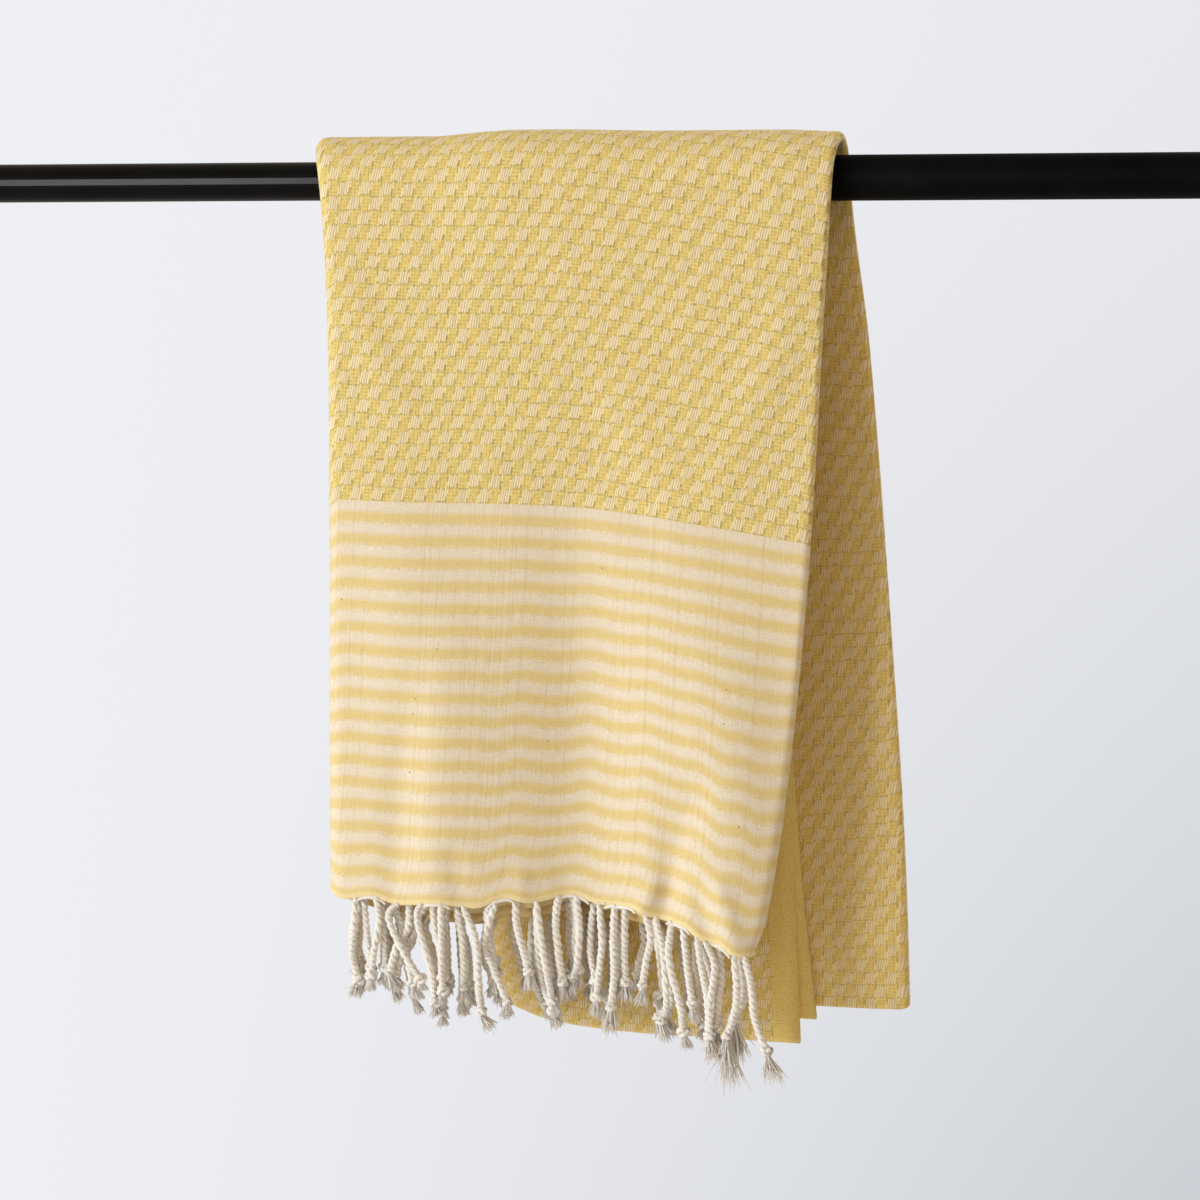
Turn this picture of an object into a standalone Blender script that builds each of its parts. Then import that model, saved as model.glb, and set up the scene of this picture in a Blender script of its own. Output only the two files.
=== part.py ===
"""Hammam towel hanging folded over a telescopic rail.

The frame is in metres. X runs along the rail, Y points away from the front drop and Z is up. The
origin is the centre of the rail's left end face.

The towel is one sheet. It is folded in half across, so that both fringed ends lie together at the
bottom of the front drop, and then book-folded lengthwise into four panels. Counted from the rail
outwards the panels lie 1, 4, 3, 2, and each is doubled. The fold is worked out in two steps: the
path of the doubled sheet across the stack, and the way that this stack hangs over the rail.
"""
from collections import namedtuple
from math import pi, radians

import bpy
import numpy as np

# Rail: a thin tube that slides into a thick one. The joint lies under the towel.
RAIL_LENGTH = 0.840
RAIL_MIDDLE = RAIL_LENGTH / 2
THIN_RADIUS = 0.01075
THICK_RADIUS = 0.0125
JOINT_X = RAIL_MIDDLE - 0.048
SOCKET_DEPTH = 0.040
FIT_GAP = 0.0003
RAIL_SIDES = 40

# Cloth
SHEET = 0.0012
LENGTH_OVER_RAIL = 0.060
CURL_LENGTH = 0.080
SELVEDGE_CLEAR = 0.008
SMALLEST_CURL = 1e-6

# Where the stack's inner face lies off the rail's axis. It clears the thick tube's rim by 2 mm.
# x is counted from the rail's middle, as in all tables below.
Bed = namedtuple("Bed", "x radius")
BED = [
    Bed(-0.115, 0.01135),
    Bed(-0.072, 0.01450),
    Bed(-0.026, 0.01450),
    Bed(+0.030, 0.01330),
]
BED_HANGING = 0.0130
BED_FADE = 0.080

# The stack from the front hem (along < 0), over the rail (0 to LENGTH_OVER_RAIL) to its rear
# bottom. right: its right side. width: of the folded stack. edge_1, edge_4: the x of the two
# selvedges. mid_1 to mid_2: how far the middle of each doubled panel lies from the stack's inner
# face. half_gap: from that middle to either ply. sink: how far panels 2 and 3 settle past the
# selvedges. curl: how far the stack's left part turns to the rear, in degrees.
Station = namedtuple("Station", "place along right width edge_1 edge_4 mid_1 mid_4 mid_3 mid_2 half_gap sink curl")
STATIONS = [
    Station("front hem", -0.420, 0.0962, 0.2442, 0.052, 0.060, 0.0021, 0.0081, 0.0141, 0.0201, 0.00150, 0.0000, 0),
    Station("front low", -0.320, 0.1105, 0.2590, 0.066, 0.070, 0.0019, 0.0070, 0.0121, 0.0172, 0.00125, 0.0010, 0),
    Station("front half", -0.200, 0.1210, 0.2695, 0.078, 0.077, 0.0016, 0.0056, 0.0096, 0.0136, 0.00100, 0.0020, 0),
    Station("front high", -0.070, 0.1280, 0.2780, 0.088, 0.082, 0.0015, 0.0050, 0.0085, 0.0120, 0.00088, 0.0026, 0),
    Station("rail front", +0.000, 0.1320, 0.2870, 0.092, 0.084, 0.0015, 0.0049, 0.0083, 0.0117, 0.00086, 0.0028, 0),
    Station("rail top", +0.030, 0.1350, 0.2950, 0.093, 0.085, 0.0015, 0.0049, 0.0083, 0.0117, 0.00086, 0.0028, 0),
    Station("rail rear", +0.060, 0.1360, 0.2950, 0.094, 0.086, 0.0015, 0.0049, 0.0083, 0.0117, 0.00086, 0.0028, 0),
    Station("rear high", +0.150, 0.1450, 0.2930, 0.098, 0.092, 0.0016, 0.0053, 0.0090, 0.0127, 0.00095, 0.0030, 10),
    Station("rear half", +0.290, 0.1560, 0.2850, 0.103, 0.100, 0.0018, 0.0062, 0.0103, 0.0144, 0.00110, 0.0035, 36),
    Station("rear low", +0.440, 0.1670, 0.2730, 0.107, 0.110, 0.0020, 0.0073, 0.0118, 0.0163, 0.00130, 0.0040, 66),
    Station("rear bottom", +0.540, 0.1720, 0.2660, 0.111, 0.121, 0.0021, 0.0079, 0.0126, 0.0173, 0.00145, 0.0040, 76),
]

# The front hem and the rear bottom of each place along the folded path, and what each panel adds.
Hem = namedtuple("Hem", "x z")
FRONT_HEM = [
    Hem(-0.150, -0.391),
    Hem(-0.130, -0.398),
    Hem(-0.060, -0.399),
    Hem(+0.000, -0.399),
    Hem(+0.040, -0.406),
    Hem(+0.080, -0.4225),
    Hem(+0.098, -0.4160),
]
Turn = namedtuple("Turn", "column hem_drop rear_depth")
TURNS = [
    Turn(0, 0.013, 0.479),
    Turn(1, 0.013, 0.477),
    Turn(2, 0.000, 0.456),
    Turn(3, 0.000, 0.455),
    Turn(4, 0.004, 0.457),
    Turn(5, 0.004, 0.458),
    Turn(6, 0.011, 0.463),
    Turn(7, 0.011, 0.464),
]
REAR_LEFT_RISE = 0.016
REAR_RISE_WIDTH = 0.110

# Soft folds that hang down a drop. A positive height stands out from the stack, away from the rail.
Fold = namedtuple("Fold", "place x_high x_low half_width height begins ends")
FRONT_FOLDS = [
    Fold("left ridge", -0.066, -0.084, 0.022, +0.0050, 0.14, 0.40),
    Fold("middle valley", -0.012, -0.003, 0.024, -0.0045, 0.12, 0.40),
    Fold("right ridge", +0.058, +0.078, 0.028, +0.0050, 0.12, 0.40),
]
REAR_FOLDS = [
    Fold("rear ridge", +0.040, +0.058, 0.032, +0.0045, 0.10, 0.46),
    Fold("rear valley", +0.118, +0.140, 0.024, -0.0030, 0.16, 0.46),
]

# Cells of the cloth's grid: panels 1 and 4, panels 2 and 3, and the three turns between them.
# Columns 0 to 7 follow the folded path. PLY_LEVELS counts the plies between a panel and the rail.
PANEL_CELLS = 8
MARGIN_CELLS = 3
TURN_CELLS = {"1 to 2": 6, "2 to 3": 4, "3 to 4": 3}
DROP_CELLS = 7
RAIL_CELLS = 9
BOTTOM_CELLS = 3
COLUMN_END = 7
PANELS_TO_RIGHT = (2, 6)
PLY_LEVELS = {"outer": (0, 7, 4, 3), "inner": (1, 6, 5, 2)}
STOP_DIGITS = 9
SHARP_ANGLE = radians(50)

# Fringe: a narrow strip under each end's hem, and its cords with knot and tuft.
STRIP_GAP = 0.0011
STRIP_HEIGHT = 0.0030
CORD_PITCH = 0.0147
CORD_ROWS = 3
CORD_ROOT = 0.0013
CORD_MARGIN = 0.0035
COLUMN_STEP = 0.01
CORNER_SHARE = 0.35
Ring = namedtuple("Ring", "place share half_side")
CORD_RINGS = [
    Ring("gathered", 0.10, 0.0016),
    Ring("half way", 0.45, 0.0016),
    Ring("over the knot", 0.76, 0.0015),
    Ring("knot", 0.83, 0.00185),
    Ring("tuft", 1.00, 0.0014),
]
CORD_LENGTH = 0.062
LENGTH_SWING = 0.007
LONG_CORDS_X = 0.085
LONG_CORDS_FADE = 0.030
LONG_CORDS_EXTRA = 0.006
Wave = namedtuple("Wave", "per_metre per_ply")
LENGTH_WAVES = [Wave(410, 2.1), Wave(173, 1.3)]
DRIFT = 0.0030
DRIFT_SWING = 0.0018
DRIFT_WAVE = 0.115
DRIFT_POWER = 1.4
SPREAD_PER_PLY = 0.0008

Finish = namedtuple("Finish", "colour roughness metallic")
FINISHES = {
    "towel_cloth": Finish((0.82, 0.63, 0.20), 0.9, 0.0),
    "fringe_outer_end": Finish((0.86, 0.78, 0.68), 0.95, 0.0),
    "fringe_inner_end": Finish((0.84, 0.75, 0.64), 0.95, 0.0),
    "rail_thin_tube": Finish((0.012, 0.012, 0.012), 0.35, 0.0),
    "rail_thick_tube": Finish((0.010, 0.010, 0.010), 0.5, 0.0),
}


def ease(share):
    """Smooth step from 0 to 1."""
    share = np.clip(share, 0.0, 1.0)
    return share * share * (3.0 - 2.0 * share)


def smooth_read(places, values, at):
    """Reads a table with a cubic that never overshoots its rows."""
    places, values = np.asarray(places, float), np.asarray(values, float)
    steps = np.diff(places)
    rises = np.diff(values) / steps
    slopes = np.concatenate([rises[:1], np.zeros(len(rises) - 1), rises[-1:]])
    product = rises[:-1] * rises[1:]
    total = np.where(product > 0, rises[:-1] + rises[1:], 1.0)
    slopes[1:-1] = np.where(product > 0, 2 * product / total, 0.0)
    at = np.clip(at, places[0], places[-1])
    row = np.clip(np.searchsorted(places, at, side="right") - 1, 0, len(steps) - 1)
    step = steps[row]
    t = (at - places[row]) / step
    start = values[row] * (1 + 2 * t) * (1 - t) ** 2 + slopes[row] * step * t * (1 - t) ** 2
    end = values[row + 1] * t * t * (3 - 2 * t) + slopes[row + 1] * step * t * t * (t - 1)
    return start + end


def station(column_name, along):
    """One column of STATIONS, read at the places along."""
    places = [row.along for row in STATIONS]
    return smooth_read(places, [getattr(row, column_name) for row in STATIONS], along)


def bed_radius(x):
    """Radius of the stack's inner face over the rail."""
    return smooth_read([row.x for row in BED], [row.radius for row in BED], x)


def soft_folds(folds, x, depth):
    """How far the soft folds of one drop push the stack outwards."""
    out = np.zeros(np.broadcast(x, depth).shape)
    for fold in folds:
        grown = ease((depth - fold.begins) / (fold.ends - fold.begins))
        middle = fold.x_high + (fold.x_low - fold.x_high) * grown
        out = out + fold.height * grown * np.exp(-(((x - middle) / fold.half_width) ** 2))
    return out


def folded_path(column, along):
    """Path of the doubled sheet across the stack.

    column runs 0 to 7: panel 1, turn, panel 2, turn, panel 3, turn, panel 4. Gives the distance
    from the stack's left side, the height over its inner face and the doubled sheet's normal,
    which points to the towel's outer ply.
    """
    mid = [station(f"mid_{panel}", along) for panel in (1, 2, 3, 4)]
    half_gap, width = station("half_gap", along), station("width", along)
    wrap = (mid[1] - mid[0]) / 2
    small = (mid[1] - mid[2]) / 2
    inner = (mid[2] - mid[3]) / 2
    left = wrap + half_gap + SHEET / 2
    right = width - (small + half_gap + SHEET / 2)
    from_right = station("right", along) - width
    edge_1 = station("edge_1", along) - from_right
    edge_4 = station("edge_4", along) - from_right
    piece = np.clip(np.floor(column), 0, COLUMN_END - 1)
    share = column - piece
    turn = share * pi
    level = np.zeros_like(share)
    across = [
        edge_1 + (left - edge_1) * share,
        left - wrap * np.sin(turn),
        left + (right - left) * share,
        right + small * np.sin(turn),
        right + (left - right) * share,
        left - inner * np.sin(turn),
        left + (edge_4 - left) * share,
    ]
    height = [
        mid[0] + level,
        (mid[0] + mid[1]) / 2 - wrap * np.cos(turn),
        mid[1] + level,
        (mid[1] + mid[2]) / 2 + small * np.cos(turn),
        mid[2] + level,
        (mid[2] + mid[3]) / 2 + inner * np.cos(turn),
        mid[3] + level,
    ]
    normal_across = [level, -np.sin(turn), level, np.sin(turn), level, np.sin(turn), level]
    normal_up = [level - 1, -np.cos(turn), level + 1, np.cos(turn), level - 1, -np.cos(turn), level + 1]
    pick = [piece == index for index in range(COLUMN_END)]
    across, height = np.select(pick, across), np.select(pick, height)
    last_edge = np.maximum(edge_1, edge_4) + SELVEDGE_CLEAR
    settled = ease((across - last_edge) / np.maximum(right - last_edge, SHEET))
    outer_panels = (piece >= 2) & (piece <= 4)
    height = height - np.where(outer_panels, station("sink", along) * settled, 0.0)
    return across, height, np.select(pick, normal_across), np.select(pick, normal_up)


def place_across(across, along):
    """Place on the stack's inner face: x, how far it is curled back, and the curl's angle."""
    width, right = station("width", along), station("right", along)
    curl = np.maximum(np.radians(station("curl", along)), SMALLEST_CURL)
    curled = np.maximum(CURL_LENGTH - across, 0.0)
    angle = curl * curled / CURL_LENGTH
    radius = CURL_LENGTH / curl
    flat_x = right - (width - np.maximum(across, CURL_LENGTH))
    return flat_x - radius * np.sin(angle), radius * (1 - np.cos(angle)), angle


def hem_height(column, x):
    """Z of the front hem."""
    drop = np.interp(column, [row.column for row in TURNS], [row.hem_drop for row in TURNS])
    return smooth_read([row.x for row in FRONT_HEM], [row.z for row in FRONT_HEM], x) - drop


def rear_depth(column, across):
    """How far below the rail the rear bottom hangs."""
    depth = np.interp(column, [row.column for row in TURNS], [row.rear_depth for row in TURNS])
    return depth - REAR_LEFT_RISE * (1 - ease(across / REAR_RISE_WIDTH))


def hang(column, row, offset, below):
    """Places points of the cloth.

    row runs 0 to 3: 0 to 1 up the front drop, 1 to 2 over the rail, 2 to 3 down the rear drop.
    offset is the distance from the doubled sheet's middle along its normal, below an extra drop.
    """
    column, row = np.broadcast_arrays(column, row)
    front, over, rear = np.clip(1 - row, 0, 1), np.clip(row - 1, 0, 1), np.clip(row - 2, 0, 1)
    rail_along = over * LENGTH_OVER_RAIL
    top_across = folded_path(column, rail_along)[0]
    hem_along = np.full(column.shape, STATIONS[0].along)
    hem_across = folded_path(column, hem_along)[0]
    hem_x = place_across(hem_across, hem_along)[0]
    front_z = hem_height(column, hem_x) * front
    depth = rear_depth(column, top_across) * rear
    along = np.where(row < 1, front_z, rail_along + depth)
    across, height, normal_across, normal_up = folded_path(column, along)
    across, height = across + offset * normal_across, height + offset * normal_up
    x, back, angle = place_across(across, along)
    drop = np.maximum(-front_z, depth)
    bed = bed_radius(x)
    bed = bed + (BED_HANGING - bed) * ease(drop / BED_FADE)
    swell = soft_folds(FRONT_FOLDS, x, -front_z) + soft_folds(REAR_FOLDS, x, depth)
    lift = over * pi
    reach = bed + swell + height * np.where(row > 2, np.cos(angle), 1.0)
    y = -reach * np.cos(lift) + back
    z = reach * np.sin(lift) + front_z - depth - below
    x = x + np.where(row > 2, height * np.sin(angle), 0.0)
    return np.stack([RAIL_MIDDLE + x, y, z], axis=-1)


def column_stops():
    """Columns of the grid. Panels that lie over each other share their places across."""
    inner_share = np.linspace(0, 1, PANEL_CELLS + 1)
    edge = edge_share()
    outer_share = np.concatenate([inner_share * edge, edge + (1 - edge) * np.linspace(0, 1, MARGIN_CELLS + 1)[1:]])
    stops = [
        1 - inner_share[::-1],
        1 + np.linspace(0, 1, TURN_CELLS["1 to 2"] + 1),
        2 + outer_share,
        3 + np.linspace(0, 1, TURN_CELLS["2 to 3"] + 1),
        4 + 1 - outer_share[::-1],
        5 + np.linspace(0, 1, TURN_CELLS["3 to 4"] + 1),
        6 + inner_share,
    ]
    return np.unique(np.round(np.concatenate(stops), STOP_DIGITS))


def edge_share():
    """Share of the wide panels' width at which the selvedges lie, half way down the front."""
    half = next(row for row in STATIONS if row.place == "front half")
    left = half.right - half.width
    return (min(half.edge_1, half.edge_4) - left) / half.width


def row_stops():
    """Rows of one ply, from the front hem to the rear bottom."""
    front = np.linspace(0, 1, DROP_CELLS + 1)
    over = 1 + np.linspace(0, 1, RAIL_CELLS + 1)
    rear = 2 + np.linspace(0, 1, DROP_CELLS + 1)
    return np.concatenate([front, over[1:], rear[1:]])


def cloth_skin(side):
    """One face of the towel: side +1 is the outer face of the doubled sheet, -1 the inner one."""
    rows = row_stops()
    turn = np.linspace(0, pi, BOTTOM_CELLS + 1)[1:-1]
    row = np.concatenate([rows, np.full(len(turn), rows[-1]), rows[::-1]])
    angle = np.concatenate([np.zeros(len(rows)), turn, np.full(len(rows), pi)])
    column = column_stops()
    column, row = np.meshgrid(column, row, indexing="ij")
    angle = np.broadcast_to(angle, row.shape)
    half_gap = station("half_gap", ply_along(row))
    reach = half_gap + side * SHEET / 2
    return hang(column, row, reach * np.cos(angle), reach * np.sin(angle))


def ply_along(row):
    """The place along the stack that a row stands for, near enough for the plies' distance."""
    front = STATIONS[0].along * np.clip(1 - row, 0, 1)
    over = LENGTH_OVER_RAIL * np.clip(row - 1, 0, 1)
    rear = (STATIONS[-1].along - LENGTH_OVER_RAIL) * np.clip(row - 2, 0, 1)
    return front + over + rear


def new_object(name, points, faces):
    """Makes one named object with its own material."""
    mesh = bpy.data.meshes.new(name)
    mesh.from_pydata([tuple(point) for point in points], [], faces)
    mesh.validate()
    mesh.shade_smooth()
    mesh.set_sharp_from_angle(angle=SHARP_ANGLE)
    finish = FINISHES[name]
    material = bpy.data.materials.new(name)
    material.use_nodes = True
    shader = material.node_tree.nodes["Principled BSDF"]
    shader.inputs["Base Color"].default_value = (*finish.colour, 1.0)
    shader.inputs["Roughness"].default_value = finish.roughness
    shader.inputs["Metallic"].default_value = finish.metallic
    mesh.materials.append(material)
    item = bpy.data.objects.new(name, mesh)
    bpy.context.collection.objects.link(item)
    return item


def build_towel():
    """The towel: two skins a sheet's thickness apart, closed along its four edges."""
    outer, inner = cloth_skin(+1), cloth_skin(-1)
    wide, tall = outer.shape[:2]
    number = np.arange(wide * tall).reshape(wide, tall)
    columns = column_stops()
    faces = []
    for i in range(wide - 1):
        to_right = int(columns[i]) in PANELS_TO_RIGHT
        for j in range(tall - 1):
            corners = [number[i, j], number[i + 1, j], number[i + 1, j + 1], number[i, j + 1]]
            if to_right == (j < tall // 2):
                corners = corners[1:] + corners[:1]
            a, b, c, d = (int(corner) for corner in corners)
            faces += [(a, b, c), (a, c, d)]
            back = wide * tall
            faces += [(c + back, b + back, a + back), (d + back, c + back, a + back)]
    faces += edge_faces(number, wide * tall)
    return new_object("towel_cloth", np.concatenate([outer.reshape(-1, 3), inner.reshape(-1, 3)]), faces)


def edge_faces(number, back):
    """Faces that close the sheet's rim, between its two skins."""
    rim = list(number[:, 0]) + list(number[-1, 1:]) + list(number[-2::-1, -1]) + list(number[0, -2:0:-1])
    rim = [int(point) for point in rim]
    return [(b, a, a + back, b + back) for a, b in zip(rim, rim[1:] + rim[:1])]


def fringe_columns(ply):
    """Columns at which the cords of one ply leave the hem, row by row of the stack."""
    hem = STATIONS[0]
    columns = []
    for panel, level in enumerate(PLY_LEVELS[ply]):
        start = 2 * panel
        ends = np.array([start, start + 1], float)
        across = folded_path(ends, np.full(2, hem.along))[0]
        x = hem.right - hem.width + across
        low, high = min(x) + CORD_MARGIN, max(x) - CORD_MARGIN
        phase = (level % CORD_ROWS) / CORD_ROWS * CORD_PITCH
        first, last = np.ceil((low - phase) / CORD_PITCH), np.floor((high - phase) / CORD_PITCH)
        places = phase + CORD_PITCH * np.arange(first, last + 1)
        columns += list(start + (places - x[0]) / (x[1] - x[0]))
    return sorted(columns)


def hem_point(column, offset, below):
    """A point under the front hem, which runs straight from one column of the cloth to the next."""
    stops = column_stops()
    hem_z = hang(stops, np.zeros(len(stops)), 0.0, 0.0)[:, 2]
    x, y, _ = hang(np.array([column]), np.array([0.0]), offset, 0.0)[0]
    return np.array([x, y, np.interp(column, stops, hem_z) - below])


def cord_centre(root, share, length, level):
    """Centre of a cord: it hangs from its root, drifts sideways and spreads outwards."""
    from_middle = root[0] - RAIL_MIDDLE
    swing = DRIFT_SWING * np.sin(2 * pi * from_middle / DRIFT_WAVE)
    sideways = (DRIFT + swing) * share ** DRIFT_POWER
    outwards = SPREAD_PER_PLY * level * share
    return root + np.array([sideways, -outwards, -length * share])


def cord_length(x, level):
    """Length of a cord with its knot and tuft, uneven along the hem."""
    from_middle = x - RAIL_MIDDLE
    waves = [np.sin(from_middle * wave.per_metre + level * wave.per_ply) for wave in LENGTH_WAVES]
    extra = LONG_CORDS_EXTRA * ease(1 + (from_middle - LONG_CORDS_X) / LONG_CORDS_FADE)
    return CORD_LENGTH + LENGTH_SWING * sum(waves) / len(waves) + extra


def ply_level(column, ply):
    """How many plies lie between a ply and the rail, with its turns half way."""
    return float(np.interp(column, range(COLUMN_END + 1), np.repeat(PLY_LEVELS[ply], 2)))


def build_fringe(name, ply):
    """One end's fringe: a strip that follows the folded hem, and the cords that grow from it."""
    sign = 1 if ply == "outer" else -1
    half_gap = STATIONS[0].half_gap
    roots = fringe_columns(ply)
    spans = [(root - root_span(root), root + root_span(root)) for root in roots]
    bends = [stop for stop in strip_bends() if all(not low < stop < high for low, high in spans)]
    stops = sorted([0.0, float(COLUMN_END)] + bends + [end for span in spans for end in span])
    starts = {round(span[0], STOP_DIGITS) for span in spans}
    points, faces = [], []
    for stop in stops:
        for below, side in ((0, 1), (0, -1), (1, -1), (1, 1)):
            offset = sign * (half_gap + side * SHEET / 2)
            points.append(hem_point(stop, offset, STRIP_GAP + below * STRIP_HEIGHT))
    for i in range(len(stops) - 1):
        near, far = 4 * i, 4 * i + 4
        for k in range(4):
            quad = (near + k, near + (k + 1) % 4, far + (k + 1) % 4, far + k)
            if k == 2 and round(stops[i], STOP_DIGITS) in starts:
                add_cord(points, faces, quad, (stops[i] + stops[i + 1]) / 2, ply)
            else:
                faces.append(quad)
    last = 4 * (len(stops) - 1)
    faces += [(3, 2, 1, 0), (last, last + 1, last + 2, last + 3)]
    if ply == "outer":
        faces = [face[::-1] for face in faces]
    return new_object(name, points, faces)


def strip_bends():
    """The cloth's columns in its turns and by the hem's right corner, where the strip bends too."""
    places = [(1, 2), (3 - CORNER_SHARE, 4 + CORNER_SHARE), (5, 6)]
    return [float(stop) for stop in column_stops() if any(low <= stop <= high for low, high in places)]


def root_span(column):
    """Half of a cord root's width, in columns."""
    ends = np.array([column - COLUMN_STEP, column + COLUMN_STEP])
    across, height = folded_path(ends, np.full(2, STATIONS[0].along))[:2]
    step = np.hypot(across[1] - across[0], height[1] - height[0])
    return CORD_ROOT * (ends[1] - ends[0]) / step


def add_cord(points, faces, quad, column, ply):
    """Grows one cord down from the strip's underside."""
    corners = np.array([points[index] for index in quad])
    root = corners.mean(axis=0)
    level = ply_level(column, ply)
    length = cord_length(root[0], level)
    sides = corners - root
    ring = list(quad)
    along = np.eye(3)[np.argmax(np.abs(corners[2] + corners[3] - corners[0] - corners[1]))]
    across = np.array([-along[1], along[0], 0.0])
    signs = [(np.sign(side @ along), np.sign(side @ across)) for side in sides]
    for row in CORD_RINGS:
        centre = cord_centre(root, row.share, length, level)
        new = []
        for sign_along, sign_across in signs:
            points.append(centre + row.half_side * (sign_along * along + sign_across * across))
            new.append(len(points) - 1)
        faces.extend((ring[k], ring[(k + 1) % 4], new[(k + 1) % 4], new[k]) for k in range(4))
        ring = new
    faces.append(tuple(ring))


def circle(x, radius):
    """Points of one ring of the rail."""
    angles = 2 * pi * np.arange(RAIL_SIDES) / RAIL_SIDES
    return [(x, radius * np.cos(angle), radius * np.sin(angle)) for angle in angles]


def build_turned(name, profile):
    """A solid turned about the rail's axis. The profile runs from the left end to the right."""
    points, faces = [], []
    for x, radius in profile:
        points += circle(x, radius)
    for i in range(len(profile) - 1):
        for k in range(RAIL_SIDES):
            near, far = i * RAIL_SIDES, (i + 1) * RAIL_SIDES
            after = (k + 1) % RAIL_SIDES
            faces.append((near + k, near + after, far + after, far + k))
    last = (len(profile) - 1) * RAIL_SIDES
    faces.append(tuple(range(RAIL_SIDES))[::-1])
    faces.append(tuple(range(last, last + RAIL_SIDES)))
    return new_object(name, points, faces)


def build_rail():
    """The thin tube ends in the thick tube's socket, with a sliding fit's gap all round."""
    thin_end = JOINT_X + SOCKET_DEPTH
    socket_radius = THIN_RADIUS + FIT_GAP
    thin = build_turned("rail_thin_tube", [(0.0, THIN_RADIUS), (thin_end, THIN_RADIUS)])
    thick = build_turned("rail_thick_tube", [
        (thin_end + FIT_GAP, socket_radius),
        (JOINT_X, socket_radius),
        (JOINT_X, THICK_RADIUS),
        (RAIL_LENGTH, THICK_RADIUS),
    ])
    return thin, thick


def main():
    """Clears the scene and builds the rail, the towel and its two fringes."""
    for item in list(bpy.data.objects):
        bpy.data.objects.remove(item, do_unlink=True)
    build_rail()
    build_towel()
    build_fringe("fringe_outer_end", "outer")
    build_fringe("fringe_inner_end", "inner")


main()
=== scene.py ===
"""Looks of a hammam towel that hangs, folded in four, over a plain telescopic rail.

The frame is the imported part's: X along the rail, Y away from the front drop and Z up, with the
origin at the centre of the rail's left end face. Sizes are in metres, except in the tables, which
are in millimetres and degrees, with x counted from the rail's middle.
"""
import logging
from dataclasses import dataclass, field
from enum import Enum
from math import pi, radians
from typing import Callable, Sequence

import bpy
import numpy as np
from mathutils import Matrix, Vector


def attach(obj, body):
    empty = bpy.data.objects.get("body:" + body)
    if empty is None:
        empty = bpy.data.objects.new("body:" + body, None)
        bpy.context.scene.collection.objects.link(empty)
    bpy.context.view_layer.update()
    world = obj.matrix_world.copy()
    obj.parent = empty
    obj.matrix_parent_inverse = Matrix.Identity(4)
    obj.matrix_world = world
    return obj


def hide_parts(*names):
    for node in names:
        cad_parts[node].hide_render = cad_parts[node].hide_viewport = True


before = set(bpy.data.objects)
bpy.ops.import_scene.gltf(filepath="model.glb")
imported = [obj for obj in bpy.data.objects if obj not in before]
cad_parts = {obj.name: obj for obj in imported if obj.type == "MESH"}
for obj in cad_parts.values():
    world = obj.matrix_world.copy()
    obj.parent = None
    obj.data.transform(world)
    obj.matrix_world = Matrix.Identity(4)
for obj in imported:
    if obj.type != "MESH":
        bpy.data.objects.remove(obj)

Colour = tuple[float, float, float]
Rule = tuple[float, float]

LOG = logging.getLogger("hammam_towel")
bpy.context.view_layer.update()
MM = 0.001
SEED = 11
RAIL_MIDDLE = 0.420
THICKNESS = 0.0012
# The pattern's own length from hem to hem, which lets its rows meet at the rear bottom.
WOVEN_LENGTH = 1.94
# How far the stripes reach from a hem.
STRIPED_END = 0.224
LENGTH_OVER_RAIL = 0.060
# How wide the left part of the stack is that curls back in the rear drop.
CURL_LENGTH = 0.080
SELVEDGE_CLEAR = 0.008
SMALLEST_CURL = 1e-6
# Where the inner face hangs off the axis, and how far under the rail it gets there.
BED_HANGING = 0.0130
BED_FADE = 0.080
# Places along the folded path, where each panel and each turn takes one.
COLUMN_END = 7
FRONT_PANEL = 2
HIDDEN_PANELS = (0, 4, 6)
RIGHT_FOLD = 3.5
HEM_ROLL = 0.0007
HEM_ROLL_HEIGHT = 0.0024
HEM_WAVE_HEIGHT = 0.070
# The shares of a crease's length in which it rises, and in which it fades past its end.
CREASE_RISE = 0.4
CREASE_FADE = 0.35
# How much wider the weave gets down the front drop, and how far its rear rows run aslant.
FAN = 0.12
REAR_SKEW = 0.15
# The shares of the rear drop in which that slant grows and fades.
SKEW_RISE = 0.5
SKEW_FADE = 0.1
# A dip in the checks' rows above the right end of the stripes.
SAG_X = 0.082
SAG_WIDTH = 0.022
SAG_DEPTH = 0.0050
SAG_HEM_FADE = 0.03
SAG_TOP_FADE = 0.14
# The shortest step of a tube's line, and how far along Y it may run before X sets out its rings.
LEAST_STEP = 1e-9
STEEPEST = 0.9
FINE_DETAIL = 3.0
SOFT_DETAIL = 2.0


class Ply(Enum):
    """The two halves of the sheet that lie on each other in every panel."""
    OUTER = 1
    INNER = -1


@dataclass(frozen=True)
class Station:
    """The folded stack at one place between the front hem and the rear bottom.

    right is its right side, width its width, edge_1 and edge_4 the x of the two selvedges. mid_1 to
    mid_2 are the distances of the doubled panels from the stack's inner face. half_gap is half the
    distance of the two plies, sink how far panels 2 and 3 settle past the selvedges, curl the
    rearward turn of the left part in degrees and slip how far the weave is shifted at the right
    fold.
    """
    place: str
    along: float
    right: float
    width: float
    edge_1: float
    edge_4: float
    mid_1: float
    mid_4: float
    mid_3: float
    mid_2: float
    half_gap: float
    sink: float
    curl: float
    slip: float


@dataclass(frozen=True)
class Fold:
    """A soft fold that hangs down a drop and grows between two depths. height is outwards."""
    place: str
    x_high: float
    x_low: float
    half_width: float
    height: float
    begins: float
    ends: float


@dataclass(frozen=True)
class Crease:
    """A small trough or ridge in the front drop, from one point (x, z) to another."""
    place: str
    x_high: float
    z_high: float
    x_low: float
    z_low: float
    half_width: float
    height: float


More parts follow.
